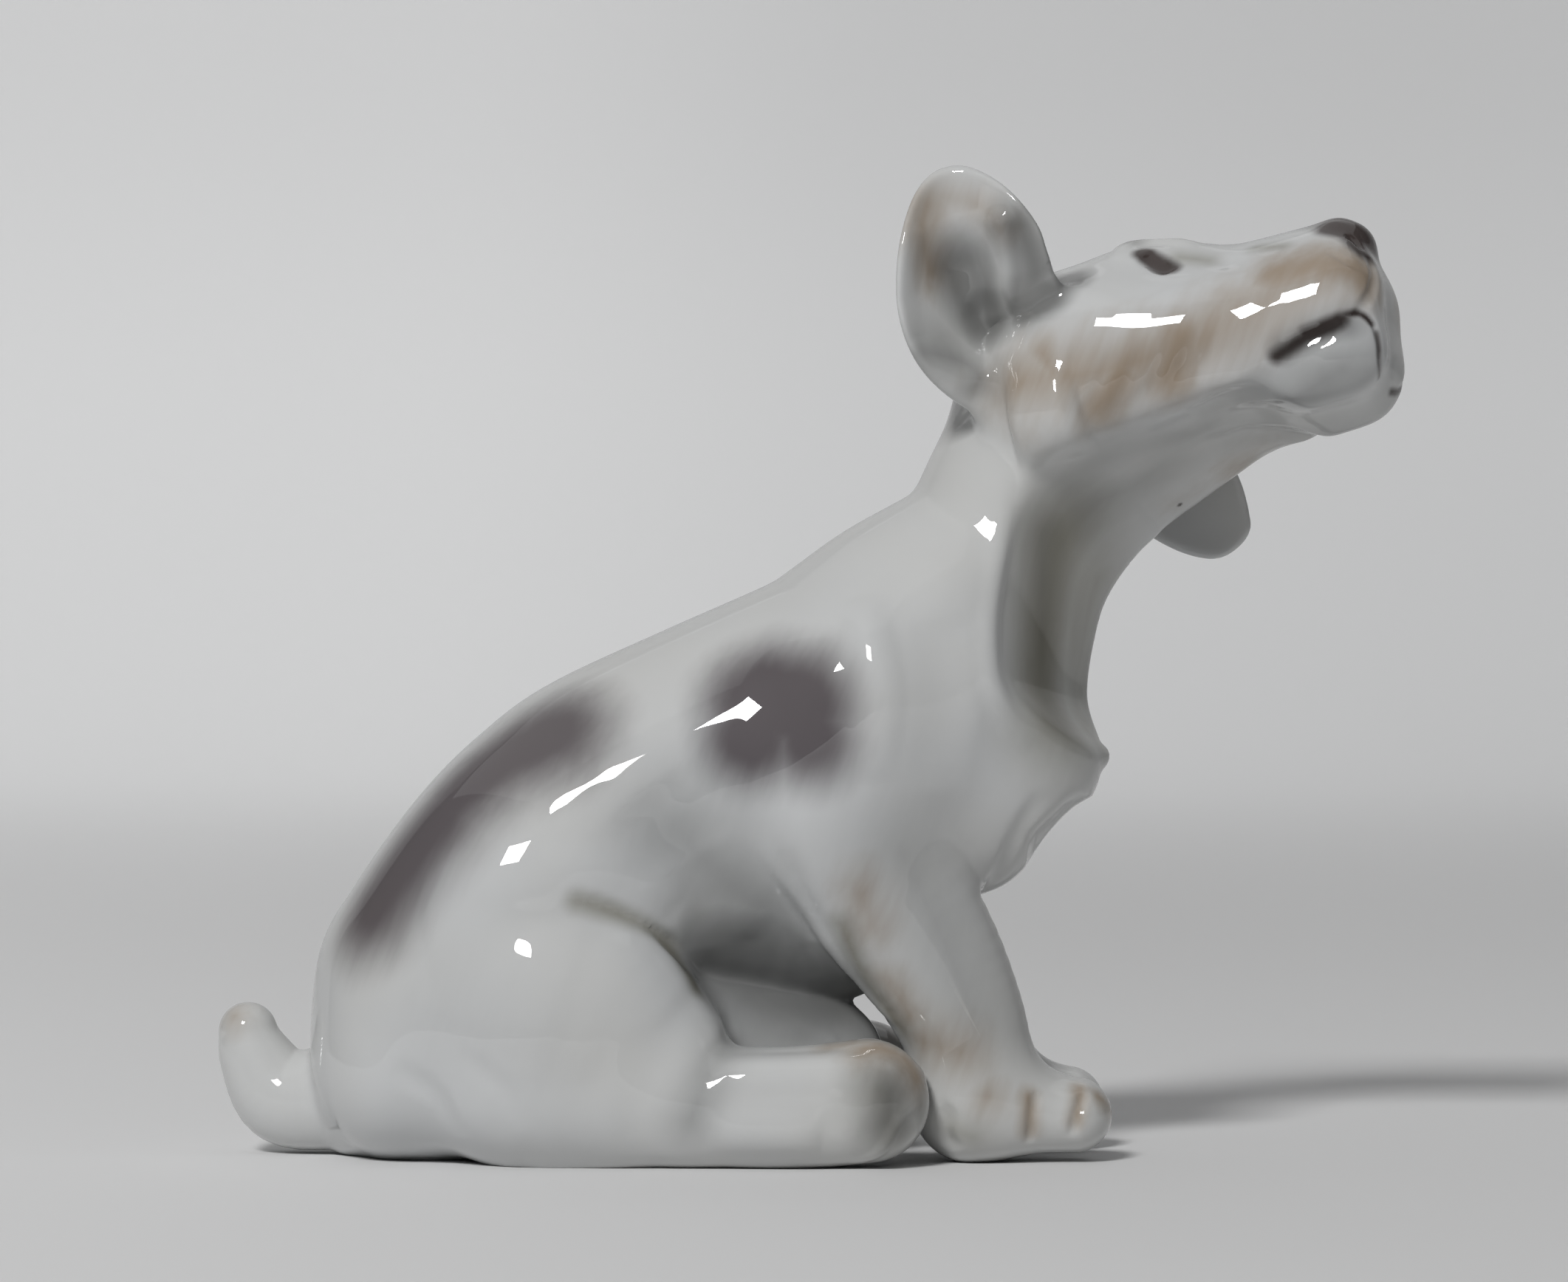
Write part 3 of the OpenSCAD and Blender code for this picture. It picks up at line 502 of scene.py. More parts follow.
# Each limb's masses, and how softly it blends into the body.
LIMBS = {
    "foreleg_right": ([Run(FORELEG, MID, side=-1), Run(PAW, MID, side=-1)], 3.2),
    "foreleg_left": ([Run(FORELEG, MID, side=1), Run(PAW, MID, side=1)], 3.2),
    "hind_foot_right": ([Run(FOOT, MID, side=-1)], 2.6),
    "hind_foot_left": ([Run(FOOT, MID, side=1)], 2.6),
    "tail": ([Run(TAIL, MID)], 3.4),
    "ear_right": ([Leaf(NEAR_EAR, NEAR_DENTS)], 2.2),
    "ear_left": ([Leaf(FAR_EAR)], 2.0),
}

# Hollow faces: the front of the throat and the underside of the jaws.
THROAT_FACE = (21.0, -1.9, 45.9), (0.81, -0.58, -0.08), (0.13, 0.05, 0.99), 0.012, -0.0145, 0.13, 0
JAW_FACE = (32.6, -3.5, 59.1), (0.30, -0.48, -0.83), (0.90, -0.15, 0.42), -0.006, 0.013, 0, 0.08
FACE_CORNER, FACE_EDGE = 5.0, 1.0
# Past these places along it a face bends outwards, at its foot or its front.
FACE_FOOT, FACE_FRONT = -5.5, 4.0
EARS = tuple(n for n in LIMBS if n.startswith("ear"))
NO_EARS = tuple(n for n in LIMBS if n not in EARS)


def limb_gaps(name, space):
    d = space.full()
    for mass in LIMBS[name][0]:
        gap = mass.gaps(space)
        d = blended(d, gap, MID) if isinstance(mass, Run) else np.minimum(d, gap)
    return d


def massed(d, masses, space):
    for mass in masses:
        d = blended(d, mass.gaps(space), mass.blend)
    return d


def trunk_gaps(space):
    """The body with neck, haunches and head."""
    _, x, y, z = space.all()
    fold = FOLD + FOLD_FADED * ramp(x, *FADES)
    d = massed(space.full(), trunk_clay, space)
    d = blended(d, massed(space.full(), haunch_clay, space), fold)
    d = massed(d, head_clay, space)
    hollow = blended(face_gaps(x, y, z, *THROAT_FACE), face_gaps(x, y, z, *JAW_FACE), FACE_CORNER)
    return smoothed(carved(d, hollow, FACE_EDGE), space)


def with_limb(d, name, space, stub=FAR):
    """A limb on the body, or the stub of it that reaches a little past its joint."""
    s = beyond(name, space)
    limb = np.maximum(limb_gaps(name, space), s - stub)
    return blended(d, limb, LIMBS[name][1] * ramp(s, *SOFTENS))


# Along a sight line: steps, the gap that counts as met, the longest stride and its safe share.
SIGHT_STEPS, MET, LONGEST, SAFE = 60, 0.02, 3.0, 0.8


def landed(pixels, limbs):
    """Where the sight lines through pixels of the photograph first meet the clay."""
    way = np.array([sight(c, r) for c, r in pixels])
    far = np.full(len(way), -EYE[1] - FAR)
    best, where = np.full(len(way), np.inf), far.copy()
    for _ in range(SIGHT_STEPS):
        space = Points(EYE + way * far[:, None])
        gap = trunk_gaps(space)
        for name in limbs:
            gap = with_limb(gap, name, space)
        better = gap < best - 1e-3
        best, where = np.where(better, gap, best), np.where(better, far, where)
        far = np.where(gap < MET, far, far + np.clip(gap, MET, LONGEST) * SAFE)
    return EYE + way * where[:, None]


# Touches of the tool: pixels, radius and height in pixels, and the shape where it isn't round.
# Heights below zero press in.
BODY_TOUCHES = [
    # the front edge of the neck
    ([(1290, 640), (1274, 720), (1264, 800), (1268, 870), (1290, 925), (1318, 950)], 24, 6),
    # the ridge down the shoulder and the hollow before it
    ([(1096, 760), (1114, 830), (1122, 900), (1108, 1000)], 38, 10),
    ([(1185, 790), (1200, 900), (1185, 1010)], 56, -7),
    # the folds of the flank above the thigh
    ([(665, 1138), (760, 1150), (830, 1190), (885, 1250)], 23, -7),
    ([(662, 1146), (690, 1126), (750, 1132)], 16, -2),
    ([(690, 1095), (790, 1110), (860, 1155)], 34, 5),
    ([(800, 1020), (870, 1080), (900, 1150), (895, 1210)], 40, -5),
    ([(930, 1060), (960, 1130), (955, 1200)], 34, 4),
    ([(1000, 1080), (1020, 1150), (1040, 1200)], 26, -4),
    # the rear edge of the foreleg
    ([(955, 1060), (1000, 1120), (1060, 1210), (1105, 1265), (1150, 1310)], 15, 6),
    # the flat side of the thigh under its upper rim
    ([(540, 1190), (640, 1168), (720, 1168), (800, 1200), (880, 1276)], 130, 13),
    # the hollow loin, the full haunch and the full side of the neck
    ([(820, 1010), (855, 1055), (880, 1095)], 110, -6),
    ([(600, 1085)], 200, 15),
    ([(1205, 748)], 62, 6),
    # the flat side low on the haunch
    ([(560, 1420), (680, 1435), (800, 1430)], 60, 6),
    # the upper arm, widest low down
    ([(1050, 1070), (1085, 1120)], 130, 17),
    ([(1100, 960), (1095, 1030)], 70, 7),
    # the front edge of the chest
    ([(1390, 1015), (1352, 1058), (1310, 1095)], 60, -13),
    # the breast bone
    ([(1413, 965)], 26, 5),
    ([(1330, 1010), (1290, 1080), (1262, 1130)], 22, -4),
    # the knee and the folds low on the haunch
    ([(940, 1300), (915, 1350), (880, 1400)], 22, -4),
    ([(745, 1300), (735, 1345)], 46, -5),
    ([(500, 1360), (560, 1400), (590, 1450)], 24, -3),
    ([(580, 1340), (640, 1385), (670, 1440)], 22, -3),
    # the toes and the heel of the paw
    ([(1322, 1392), (1316, 1425), (1312, 1460)], 13, -7, keen),
    ([(1382, 1392), (1374, 1420), (1367, 1450)], 13, -7, keen),
    ([(1215, 1410), (1202, 1440), (1222, 1468)], 20, -5),
    # the toes and the ankle of the hind foot
    ([(1180, 1350), (1150, 1425), (1122, 1470), (1085, 1485)], 14, 4),
    ([(1090, 1350), (1085, 1400), (1060, 1450)], 30, -3),
    ([(990, 1310), (1060, 1325), (1120, 1325)], 14, 3),
    # the flat side of the hind foot
    ([(900, 1366), (975, 1366), (1060, 1364), (1110, 1372)], 38, 9),
    ([(900, 1448), (975, 1450), (1050, 1452)], 38, 8),
]
HEAD_TOUCHES = [
    # the mouth
    ([(1616, 458), (1640, 446), (1672, 430), (1708, 418)], 22, -4),
    ([(1700, 410), (1733, 399), (1748, 406), (1758, 430), (1762, 460), (1763, 486)], 10, -5, keen),
    # the front edge of the upper lip
    ([(1742, 323), (1754, 351), (1746, 378), (1727, 400)], 13, -5),
    # the chin
    ([(1715, 484)], 50, 3),
    ([(1665, 522), (1705, 518)], 40, -8),
    # the lower edge of cheek and jaw
    ([(1622, 446), (1575, 466), (1525, 490), (1490, 510), (1450, 530), (1400, 546), (1330, 556)],
     24, 2),
    ([(1690, 468), (1632, 486), (1572, 508), (1516, 532)], 34, -9),
    ([(1650, 510), (1580, 548), (1500, 590), (1430, 614)], 46, -5),
    # the full lower cheek and the ridge from cheekbone to lip
    ([(1288, 548), (1332, 544), (1385, 530)], 80, 23),
    ([(1290, 404), (1345, 394), (1400, 392), (1460, 396), (1540, 390), (1620, 382), (1690, 362),
      (1745, 350)], 84, 15),
    # eye, brow and the folds round them
    ([(1458, 324), (1476, 335), (1496, 348)], 22, -8),
    ([(1424, 332), (1440, 312), (1480, 304), (1530, 312)], 20, 7),
    ([(1502, 336), (1545, 336)], 26, -6),
    ([(1458, 352), (1490, 362), (1532, 360)], 12, 4),
    ([(1320, 392), (1380, 384), (1440, 400), (1480, 392), (1520, 377), (1560, 358)], 22, 5),
    ([(1545, 330), (1590, 345), (1600, 380)], 30, -4),
    # the nose and its nostril
    ([(1716, 300), (1728, 306), (1738, 318)], 10, -8, keen),
    ([(1690, 322), (1720, 338), (1745, 345)], 10, -3),
    # hair on cheek and lip
    ([(1404, 380), (1390, 428)], 9, -2.2),
    ([(1440, 388), (1428, 434)], 9, -2.2),
    ([(1476, 380), (1464, 424)], 9, -2.2),
    ([(1380, 430), (1362, 478), (1345, 525)], 13, -1.3),
    ([(1420, 440), (1402, 486), (1384, 530)], 13, -1.3),
    ([(1458, 438), (1440, 482), (1422, 522)], 13, -1.3),
    ([(1496, 425), (1478, 470), (1460, 508)], 13, -1.3),
    ([(1532, 408), (1514, 452), (1496, 490)], 13, -1.3),
    ([(1566, 392), (1549, 434), (1533, 470)], 13, -0.8),
    # the crease behind the ear
    ([(1216, 545), (1240, 515), (1256, 470)], 12, -4),
]

# Rows of pixels above this one are on the head.
COLLAR_ROW = 660
# Paint under the glaze, and painted shade: pixels, radius in pixels and strength.
VIOLET = [
    # the rump
    ([(480, 1158), (530, 1095), (570, 1050)], 128, 0.95),
    ([(590, 1022), (640, 975), (708, 935)], 132, 0.95),
    # the shoulder
    ([(972, 890), (1018, 900)], 122, 1.1),
    ([(960, 940)], 104, 1.05),
    ([(1034, 942)], 100, 1.0),
]
BROWN = [
    # nose, eye, mouth and a freckle
    ([(1700, 290), (1722, 298), (1736, 316)], 37, 1.15),
    ([(1460, 323), (1476, 333), (1492, 344)], 24, 1.1),
    # the two wider strokes at the mouth are painted shade under the upper lip; the thin ones paint
    # the line of the mouth
    ([(1628, 454), (1655, 437), (1684, 420), (1712, 408)], 19, 0.75),
    ([(1668, 427), (1706, 411)], 20, 0.9),
    ([(1708, 404), (1734, 400), (1750, 412)], 11, 0.8),
    ([(1757, 425), (1761, 460), (1761, 480)], 11, 0.7),
    ([(1505, 644)], 6, 0.9),
]
OLIVE = [
    # painted shade in the throat, in the fold above the thigh, behind the foreleg and low between
    # the feet; olive smudges of paint by the eye and on the muzzle
    ([(1505, 328), (1540, 332)], 32, 0.6),
    ([(1602, 316), (1636, 314)], 24, 0.6),
    ([(1350, 690), (1335, 790), (1340, 910)], 130, 0.95),
    ([(1400, 740), (1378, 840), (1385, 930)], 90, 0.6),
    ([(735, 1150), (800, 1172), (845, 1206), (885, 1256)], 31, 1.0),
    ([(1075, 1180), (1105, 1250), (1150, 1312)], 34, 0.7),
    ([(1120, 1390), (1140, 1440)], 70, 0.5),
    ([(1215, 1440), (1240, 1450)], 50, 0.5),
]
GREY = [
    # painted shade where the surface turns from the light: under jaw, chin and upper lip, on
    # throat, belly, flank, foreleg, knee, haunch, hind toe and paw; grey smudges of paint at the
    # ear's root and above the eye
    ([(1346, 380), (1366, 366)], 44, 1.5),
    ([(1446, 312)], 30, 0.7),
    ([(930, 1215), (1000, 1250), (1060, 1262)], 125, 1.3),
    ([(1620, 500), (1480, 600), (1400, 640)], 110, 0.5),
    ([(1640, 448), (1675, 430), (1716, 416)], 46, 0.85),
    ([(1710, 470), (1650, 510)], 90, 0.7),
    ([(1150, 1090), (1200, 1190), (1240, 1290)], 170, 0.58),
    ([(1176, 1366), (1172, 1415)], 46, 0.6),
    ([(930, 1325), (900, 1380), (880, 1430)], 62, 0.55),
    ([(560, 1300), (700, 1330)], 150, 0.25),
    ([(860, 1060), (960, 1150)], 150, 0.62),
    ([(1330, 680), (1330, 800), (1350, 920)], 90, 0.5),
    ([(1135, 1395), (1132, 1430)], 74, 0.9),
    ([(1500, 462), (1420, 520)], 80, 0.35),
]
TAN = [
    # cheek and muzzle
    ([(1300, 490), (1380, 478), (1470, 455), (1560, 420), (1640, 375), (1715, 345)], 92, 0.75),
    ([(1505, 432), (1490, 478)], 64, 1.05),
    ([(1430, 480), (1400, 520)], 60, 0.9),
    ([(1330, 450), (1345, 480)], 50, 0.75),
    ([(1310, 500), (1318, 545)], 44, 0.6),
    ([(1630, 355), (1690, 340), (1738, 350)], 70, 1.0),
    # legs, paws and tail
    ([(1100, 1338), (1145, 1345), (1170, 1375)], 56, 0.75),
    ([(1060, 1335), (1105, 1330)], 40, 0.6),
    ([(1312, 1400), (1314, 1442)], 26, 0.8),
    ([(1378, 1388), (1373, 1430)], 24, 0.8),
    ([(1262, 1400)], 46, 0.5),
    ([(1402, 1400), (1420, 1425)], 28, 0.7),
    ([(1100, 1140), (1112, 1185)], 66, 0.55),
    ([(1180, 1330), (1225, 1342)], 70, 0.6),
    ([(1132, 1250), (1160, 1295)], 50, 0.6),
    ([(300, 1296)], 44, 0.5),
]
EAR_TAN = [
    ([(1182, 262), (1178, 300), (1186, 345)], 62, 0.72),
    ([(1196, 250), (1250, 262), (1275, 290)], 50, 0.5),
]
EAR_GREY = [
    # painted shade in the ear's cup, on its front flap and low on it; a grey smudge of paint at its
    # root
    ([(1308, 392), (1336, 376), (1362, 362)], 46, 1.5),
    ([(1226, 345), (1240, 375), (1262, 405)], 70, 1.25),
    ([(1300, 290), (1320, 345), (1304, 385)], 64, 1.0),
    ([(1180, 450), (1225, 460), (1250, 480)], 70, 0.65),
]
# Paint round the nose.
NOSE_PAINT_RADIUS, NOSE_PAINT = 5.2, 1.4


def tool_mark(at, radius, height, shape=bump):
    return Touch(at, radius * PIXEL, -height * PIXEL, shape, FADING_ENDS)


def brush_mark(at, radius, strength):
    return Touch(at, radius * PIXEL, strength, cone)


def laid(table, limbs, mirror, form):
    """Marks on the clay under their pixels, each with its mirror image where there is one."""
    if not table:
        return []
    at = iter(landed([p for row in table for p in row[0]], limbs))
    marks = []
    for pixels, *values in table:
        mark = form([next(at) for _ in pixels], *values)
        marks += [mark, mark.mirrored(mirror)] if mirror else [mark]
    return marks


def brushed(table, ear_table=()):
    """Strokes of one paint or of painted shade on body, head and near ear."""
    body = [row for row in table if row[0][0][1] > COLLAR_ROW]
    head = [row for row in table if row[0][0][1] <= COLLAR_ROW]
    return (laid(body, NO_EARS, WORLD, brush_mark) + laid(head, (), HEAD, brush_mark)
            + laid(ear_table, tuple(LIMBS), None, brush_mark))


nose_paint = Touch(placed(np.array(NOSE)[:, :3], HEAD), NOSE_PAINT_RADIUS, NOSE_PAINT, cone)
# Coats of paint and of painted shade: olive and grey mostly shade, brown at the mouth.
PAINT_AND_SHADE = {
    "violet_paint": brushed(VIOLET),
    "brown_paint_and_shade": brushed(BROWN) + [nose_paint],
    "olive_shade_and_smudge": brushed(OLIVE),
    "grey_shade_and_smudge": brushed(GREY, EAR_GREY),
    "tan_paint": brushed(TAN, EAR_TAN),
}
touches = laid(BODY_TOUCHES, NO_EARS, WORLD, tool_mark) + laid(HEAD_TOUCHES, (), HEAD, tool_mark)


def painted(mesh, at):
    """How strongly each paint and each painted shade lies on each point of a piece."""
    space = Points(at)
    for name, coats in PAINT_AND_SHADE.items():
        amount = space.full(0.0)
        for stroke in coats:
            cut, value = stroke.press(space)
            amount[cut] = np.maximum(amount[cut], value)
        layer = mesh.attributes.new(name, "FLOAT", "POINT")
        layer.data.foreach_set("value", amount.astype(np.float32))


def touched(space, d):
    for touch in touches:
        cut, change = touch.press(space)
        d[cut] += change
    return d


# The vent under the seat, and the hollow room above it.
VENT_X, VENT_RADIUS, VENT_TOP, VENT_EDGE = -27.0, 3.5 / SHARE_MM, 9.0, 0.3
ROOM_RADIUS, ROOM_HEIGHT, ROOM_MIDDLE = 8.0, 6.8, 9.5
VENT_BOX = ((-37, -10, -3), (-17, 10, 20))


def vent(space, d):
    """The clay with its vent."""
    cut, x, y, z = space.part(*VENT_BOX)
    x = x - VENT_X
    hole = np.maximum(np.sqrt(x ** 2 + y ** 2) - VENT_RADIUS, z - VENT_TOP)
    up = (z - ROOM_MIDDLE) / ROOM_HEIGHT
    room = np.sqrt((x / ROOM_RADIUS) ** 2 + (y / ROOM_RADIUS) ** 2 + up ** 2)
    room = room * ROOM_HEIGHT - ROOM_HEIGHT
    d[cut] = carved(d[cut], -np.minimum(hole, room), VENT_EDGE)
    return d


def with_stubs(names, space):
    """The body with its touches and the stubs of some limbs, which are cut off later."""
    d = trunk_gaps(space)
    for name in names:
        d = with_limb(d, name, space, PAST)
    return touched(space, d)


def torso_gaps(space):
    return np.maximum(vent(space, with_stubs(NO_EARS, space)), beyond("neck", space) - PAST)


def head_gaps(space):
    return np.maximum(with_stubs(EARS, space), -beyond("neck", space) - PAST - SLIP)


def neck_gaps(space):
    return with_stubs((), space)


def limb_piece(name):
    def gaps(space):
        limb = touched(space, limb_gaps(name, space))
        return np.maximum(limb, -beyond(name, space) - PAST - SLIP)
    return gaps


# How a point moves onto the clay: how often, how far in cells, and the least square of a slope.
MOVES, STRIDE, LEAST_SLOPE = 2, 0.4, 0.3


class Sampled:
    """A block of gaps that is read between its places."""

    def __init__(self, gaps, low, high, cell):
        self.block = Block(low, high, cell)
        self.gap = gaps(self.block).astype(np.float32)
        self.slopes = np.gradient(self.gap, cell)

    def cell_of(self, at):
        """The cell that each place lies in, and where in it."""
        q = (at - self.block.low) / self.block.cell
        i = np.clip(np.floor(q).astype(int), 0, np.array(self.block.shape) - 2)
        return i, q - i

    def read(self, at, fields):
        i, t = self.cell_of(at)
        out = [0] * len(fields)
        for corner in np.ndindex(2, 2, 2):
            weight = np.where(corner, t, 1 - t).prod(axis=1)
            at_corner = tuple((i + corner).T)
            for k, f in enumerate(fields):
                out[k] = out[k] + weight * f[at_corner]
        return out

    def slope(self, at):
        return np.stack(self.read(at, self.slopes), axis=1)

    def skin(self):
        """The face of the clay: its points, moved onto it, and its quads and triangles."""
        grid = vdb.FloatGrid()
        grid.copyFromArray(self.gap)
        points, tris, quads = grid.convertToPolygons(isovalue=0, adaptivity=0)
        cell = self.block.cell
        at = np.asarray(points, float) * cell + self.block.low
        for _ in range(MOVES):
            g = self.slope(at)
            size = np.maximum((g * g).sum(axis=1), LEAST_SLOPE)
            move = g * (self.read(at, [self.gap])[0] / size)[:, None]
            far = np.linalg.norm(move, axis=1, keepdims=True)
            at = at - move * np.minimum(1, STRIDE * cell / np.maximum(far, TINY))
        return at, np.asarray(quads)[:, ::-1], np.asarray(tris, int).reshape(-1, 3)[:, ::-1]


def cut_flat(bm, at, way, faces=None):
    """Cuts off what lies on the far side of a plane, closes the mesh and returns the caps."""
    geom = bm.verts[:] + bm.edges[:] + bm.faces[:]
    if faces is not None:
        verts = dict.fromkeys(v for f in faces for v in f.verts)
        edges = dict.fromkeys(e for f in faces for e in f.edges)
        geom = [*verts, *edges, *faces]
    bmesh.ops.bisect_plane(bm, geom=geom, dist=1e-5, plane_co=at, plane_no=way, clear_outer=True)
    rim = [e for e in bm.edges if e.is_boundary]
    made = bmesh.ops.triangle_fill(bm, use_beauty=True, edges=rim, normal=Vector(way))
    return [f for f in made["geom"] if isinstance(f, bmesh.types.BMFace)]


# A cut takes the faces past it or this little before it, and where it cuts off a limb's stub,
# only those on the limb.
CUT_BAND, LIMB_BAND = 1.5, 0.8


def marked(middle, cuts):
    """The cuts that take each face, as bits."""
    marks = np.zeros(len(middle), int)
    for n, (joint, side, shift) in enumerate(cuts):
        place, way, reach = JOINTS[joint]
        s = (middle - np.array(place) + np.array(way) * shift) @ np.array(way) * side
        near = np.nonzero((s > -CUT_BAND) & (np.linalg.norm(middle - place, axis=1) < reach))[0]
        if joint in LIMBS and side > 0 and len(near):
            near = near[limb_gaps(joint, Points(middle[near])) < LIMB_BAND]
        marks[near] |= 1 << n
    return marks


def cut_piece(mesh, marks, cuts, sunk):
    """Cuts a mesh at the ground and at its joints. Returns which faces are caps."""
    bm = bmesh.new()
    bm.from_mesh(mesh)
    mark = bm.faces.layers.int.new("mark")
    cap = bm.faces.layers.int.new("cap")
    for f, m in zip(bm.faces, marks.tolist()):
        f[mark] = m
    planes = [((0, 0, 0), (0, 0, -1), None)] if sunk else []
    for n, (joint, side, shift) in enumerate(cuts):
        way = np.array(JOINTS[joint][1])
        planes.append((np.array(JOINTS[joint][0]) - way * shift, way * side, 1 << n))
    for at, way, bit in planes:
        near = [f for f in bm.faces if f[mark] & bit] if bit else None
        for f in cut_flat(bm, at, way, near):
            f[cap], f[mark] = 1, 0
    bmesh.ops.recalc_face_normals(bm, faces=bm.faces[:])
    caps = np.array([f[cap] for f in bm.faces])
    bm.faces.layers.int.remove(cap)
    bm.faces.layers.int.remove(bm.faces.layers.int["mark"])
    bm.to_mesh(mesh)
    bm.free()
    return caps


def read(items, key, kind, width=1):
    """One value of every vertex, face or corner, as an array."""
    values = np.empty(len(items) * width, kind)
    items.foreach_get(key, values)
    return values.reshape(-1, width) if width > 1 else values


def shaded(mesh, slopes, caps):
    """Normals from the slope of the clay, and flat ones on the caps."""
    slopes = slopes / np.maximum(np.linalg.norm(slopes, axis=1, keepdims=True), TINY)
    normals = slopes[read(mesh.loops, "vertex_index", int)]
    size = read(mesh.polygons, "loop_total", int)
    capped = np.repeat(caps, size) > 0
    normals[capped] = np.repeat(read(mesh.polygons, "normal", float, 3), size, axis=0)[capped]
    mesh.polygons.foreach_set("use_smooth", [True] * len(mesh.polygons))
    mesh.normals_split_custom_set(normals.tolist())


def added(name, data):
    """A new object in the scene."""
    ob = bpy.data.objects.new(name, data)
    bpy.context.scene.collection.objects.link(ob)
    return ob


def built(name, gaps, low, high, cell, cuts):
    """A closed mesh of one piece, cut flat at its joints and at the ground."""
    field = Sampled(gaps, low, high, cell)
    at, quads, tris = field.skin()
    mesh = bpy.data.meshes.new(name)
    mesh.from_pydata(at.tolist(), [], quads.tolist() + tris.tolist())
    middle = np.concatenate([at[quads].mean(axis=1), at[tris].mean(axis=1)])
    caps = cut_piece(mesh, marked(middle, cuts), cuts, at[:, 2].min() < 0)
    place = read(mesh.vertices, "co", float, 3)
    painted(mesh, place)
    mesh.vertices.foreach_set("co", (place * SHARE).ravel())
    mesh.update()
    shaded(mesh, field.slope(place), caps)
    return added(name, mesh)


# How far round a piece's solid its clay is worked, and how finely.
ROUND = 2.2
TORSO_CELL, HEAD_CELL, LIMB_CELL, EAR_CELL, SLIP_CELL, NECK_CELL = 0.42, 0.24, 0.25, 0.2, 0.3, 0.4
pieces = []


def make(name, gaps, cell, cuts, node):
    low, high = (np.array(corner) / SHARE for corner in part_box(node))
    ob = built(name, gaps, low - ROUND, high + ROUND, cell, cuts)
    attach(ob, "root")
    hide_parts(node)
    pieces.append(ob)


# A cut: the joint, the side of it that goes, and how far before the joint it lies.
make("torso", torso_gaps, TORSO_CELL, [(n, 1, SLIP) for n in ("neck", *NO_EARS)], "torso_casting")
make("head", head_gaps, HEAD_CELL, [("neck", -1, 0)] + [(n, 1, SLIP) for n in EARS], "head_casting")
for limb in LIMBS:
    limb_cell = EAR_CELL if limb in EARS else LIMB_CELL
    limb_node = "tail_casting" if limb == "tail" else limb
    gaps = limb_piece(limb)
    make(limb + "_piece", gaps, limb_cell, [(limb, -1, 0)], limb_node)
    make(limb + "_joint", gaps, SLIP_CELL, [(limb, -1, SLIP), (limb, 1, 0)], limb + "_slip")
make("neck_joint", neck_gaps, NECK_CELL, [("neck", -1, SLIP), ("neck", 1, 0)], "neck_slip")


def group(name, inputs, outputs):
    """An empty shader group with its sockets."""
    tree = bpy.data.node_groups.new(name, "ShaderNodeTree")
    for label, kind, value in inputs:
        socket = tree.interface.new_socket(label, in_out="INPUT", socket_type="NodeSocket" + kind)
        if value is not None:
            socket.default_value = value
    for label, kind in outputs:
        tree.interface.new_socket(label, in_out="OUTPUT", socket_type="NodeSocket" + kind)
    return tree, tree.nodes.new("NodeGroupInput"), tree.nodes.new("NodeGroupOutput")


def filled(tree, kind, values=(), **settings):
    """A node with its settings, and with numbers or other nodes' outputs on its sockets."""
    node = tree.nodes.new("ShaderNode" + kind)
    for name, setting in settings.items():
        setattr(node, name, setting)
    for label, value in dict(values).items():
        if isinstance(value, bpy.types.NodeSocket):
            tree.links.new(value, node.inputs[label])
        else:
            node.inputs[label].default_value = value
    return node


def math_node(tree, kind, *values, clamp=False):
    return filled(tree, "Math", enumerate(values), operation=kind, use_clamp=clamp).outputs[0]


def noise_node(tree, vector, scale, detail=2.0):
    values = {"Vector": vector, "Scale": scale, "Detail": detail}
    return filled(tree, "TexNoise", values).outputs["Fac"]


def soft_step(tree, value, low, high):
    values = {"Value": value, "From Min": low, "From Max": high}
    return filled(tree, "MapRange", values, interpolation_type="SMOOTHSTEP").outputs["Result"]


def coloured_mix(tree, blend, factor, a, b):
    values = {"Factor": factor, "A": a, "B": b}
    return filled(tree, "Mix", values, data_type="RGBA", blend_type=blend).outputs["Result"]


# Streaks lean like the hair, and are drawn out along it: how often they come in a metre.
STREAK_LEAN = -20
STREAKS = {"Fine": (620, 620, 90), "Broad": (210, 210, 50)}
FINE_SHARE, BROAD_SHARE, STREAK_MIDDLE = 0.4, 0.6, 0.5
# Streaks fade in from where a paint starts.
STREAK_RISE = 8.0


def streak_group():
    """Fine streaks, as a brush leaves them that follows the hair."""
    tree, start, end = group("brush_streaks", [("Vector", "Vector", None)],
                             [(label, "Float") for label in STREAKS])
    leaning = {"Vector": start.outputs["Vector"], "Angle": math.radians(STREAK_LEAN)}
    turn = filled(tree, "VectorRotate", leaning, rotation_type="Y_AXIS")
    for label, often in STREAKS.items():
        drawn = filled(tree, "VectorMath", {0: turn.outputs[0], 1: often}, operation="MULTIPLY")
        tree.links.new(noise_node(tree, drawn.outputs[0], 1.0), end.inputs[label])
    return tree


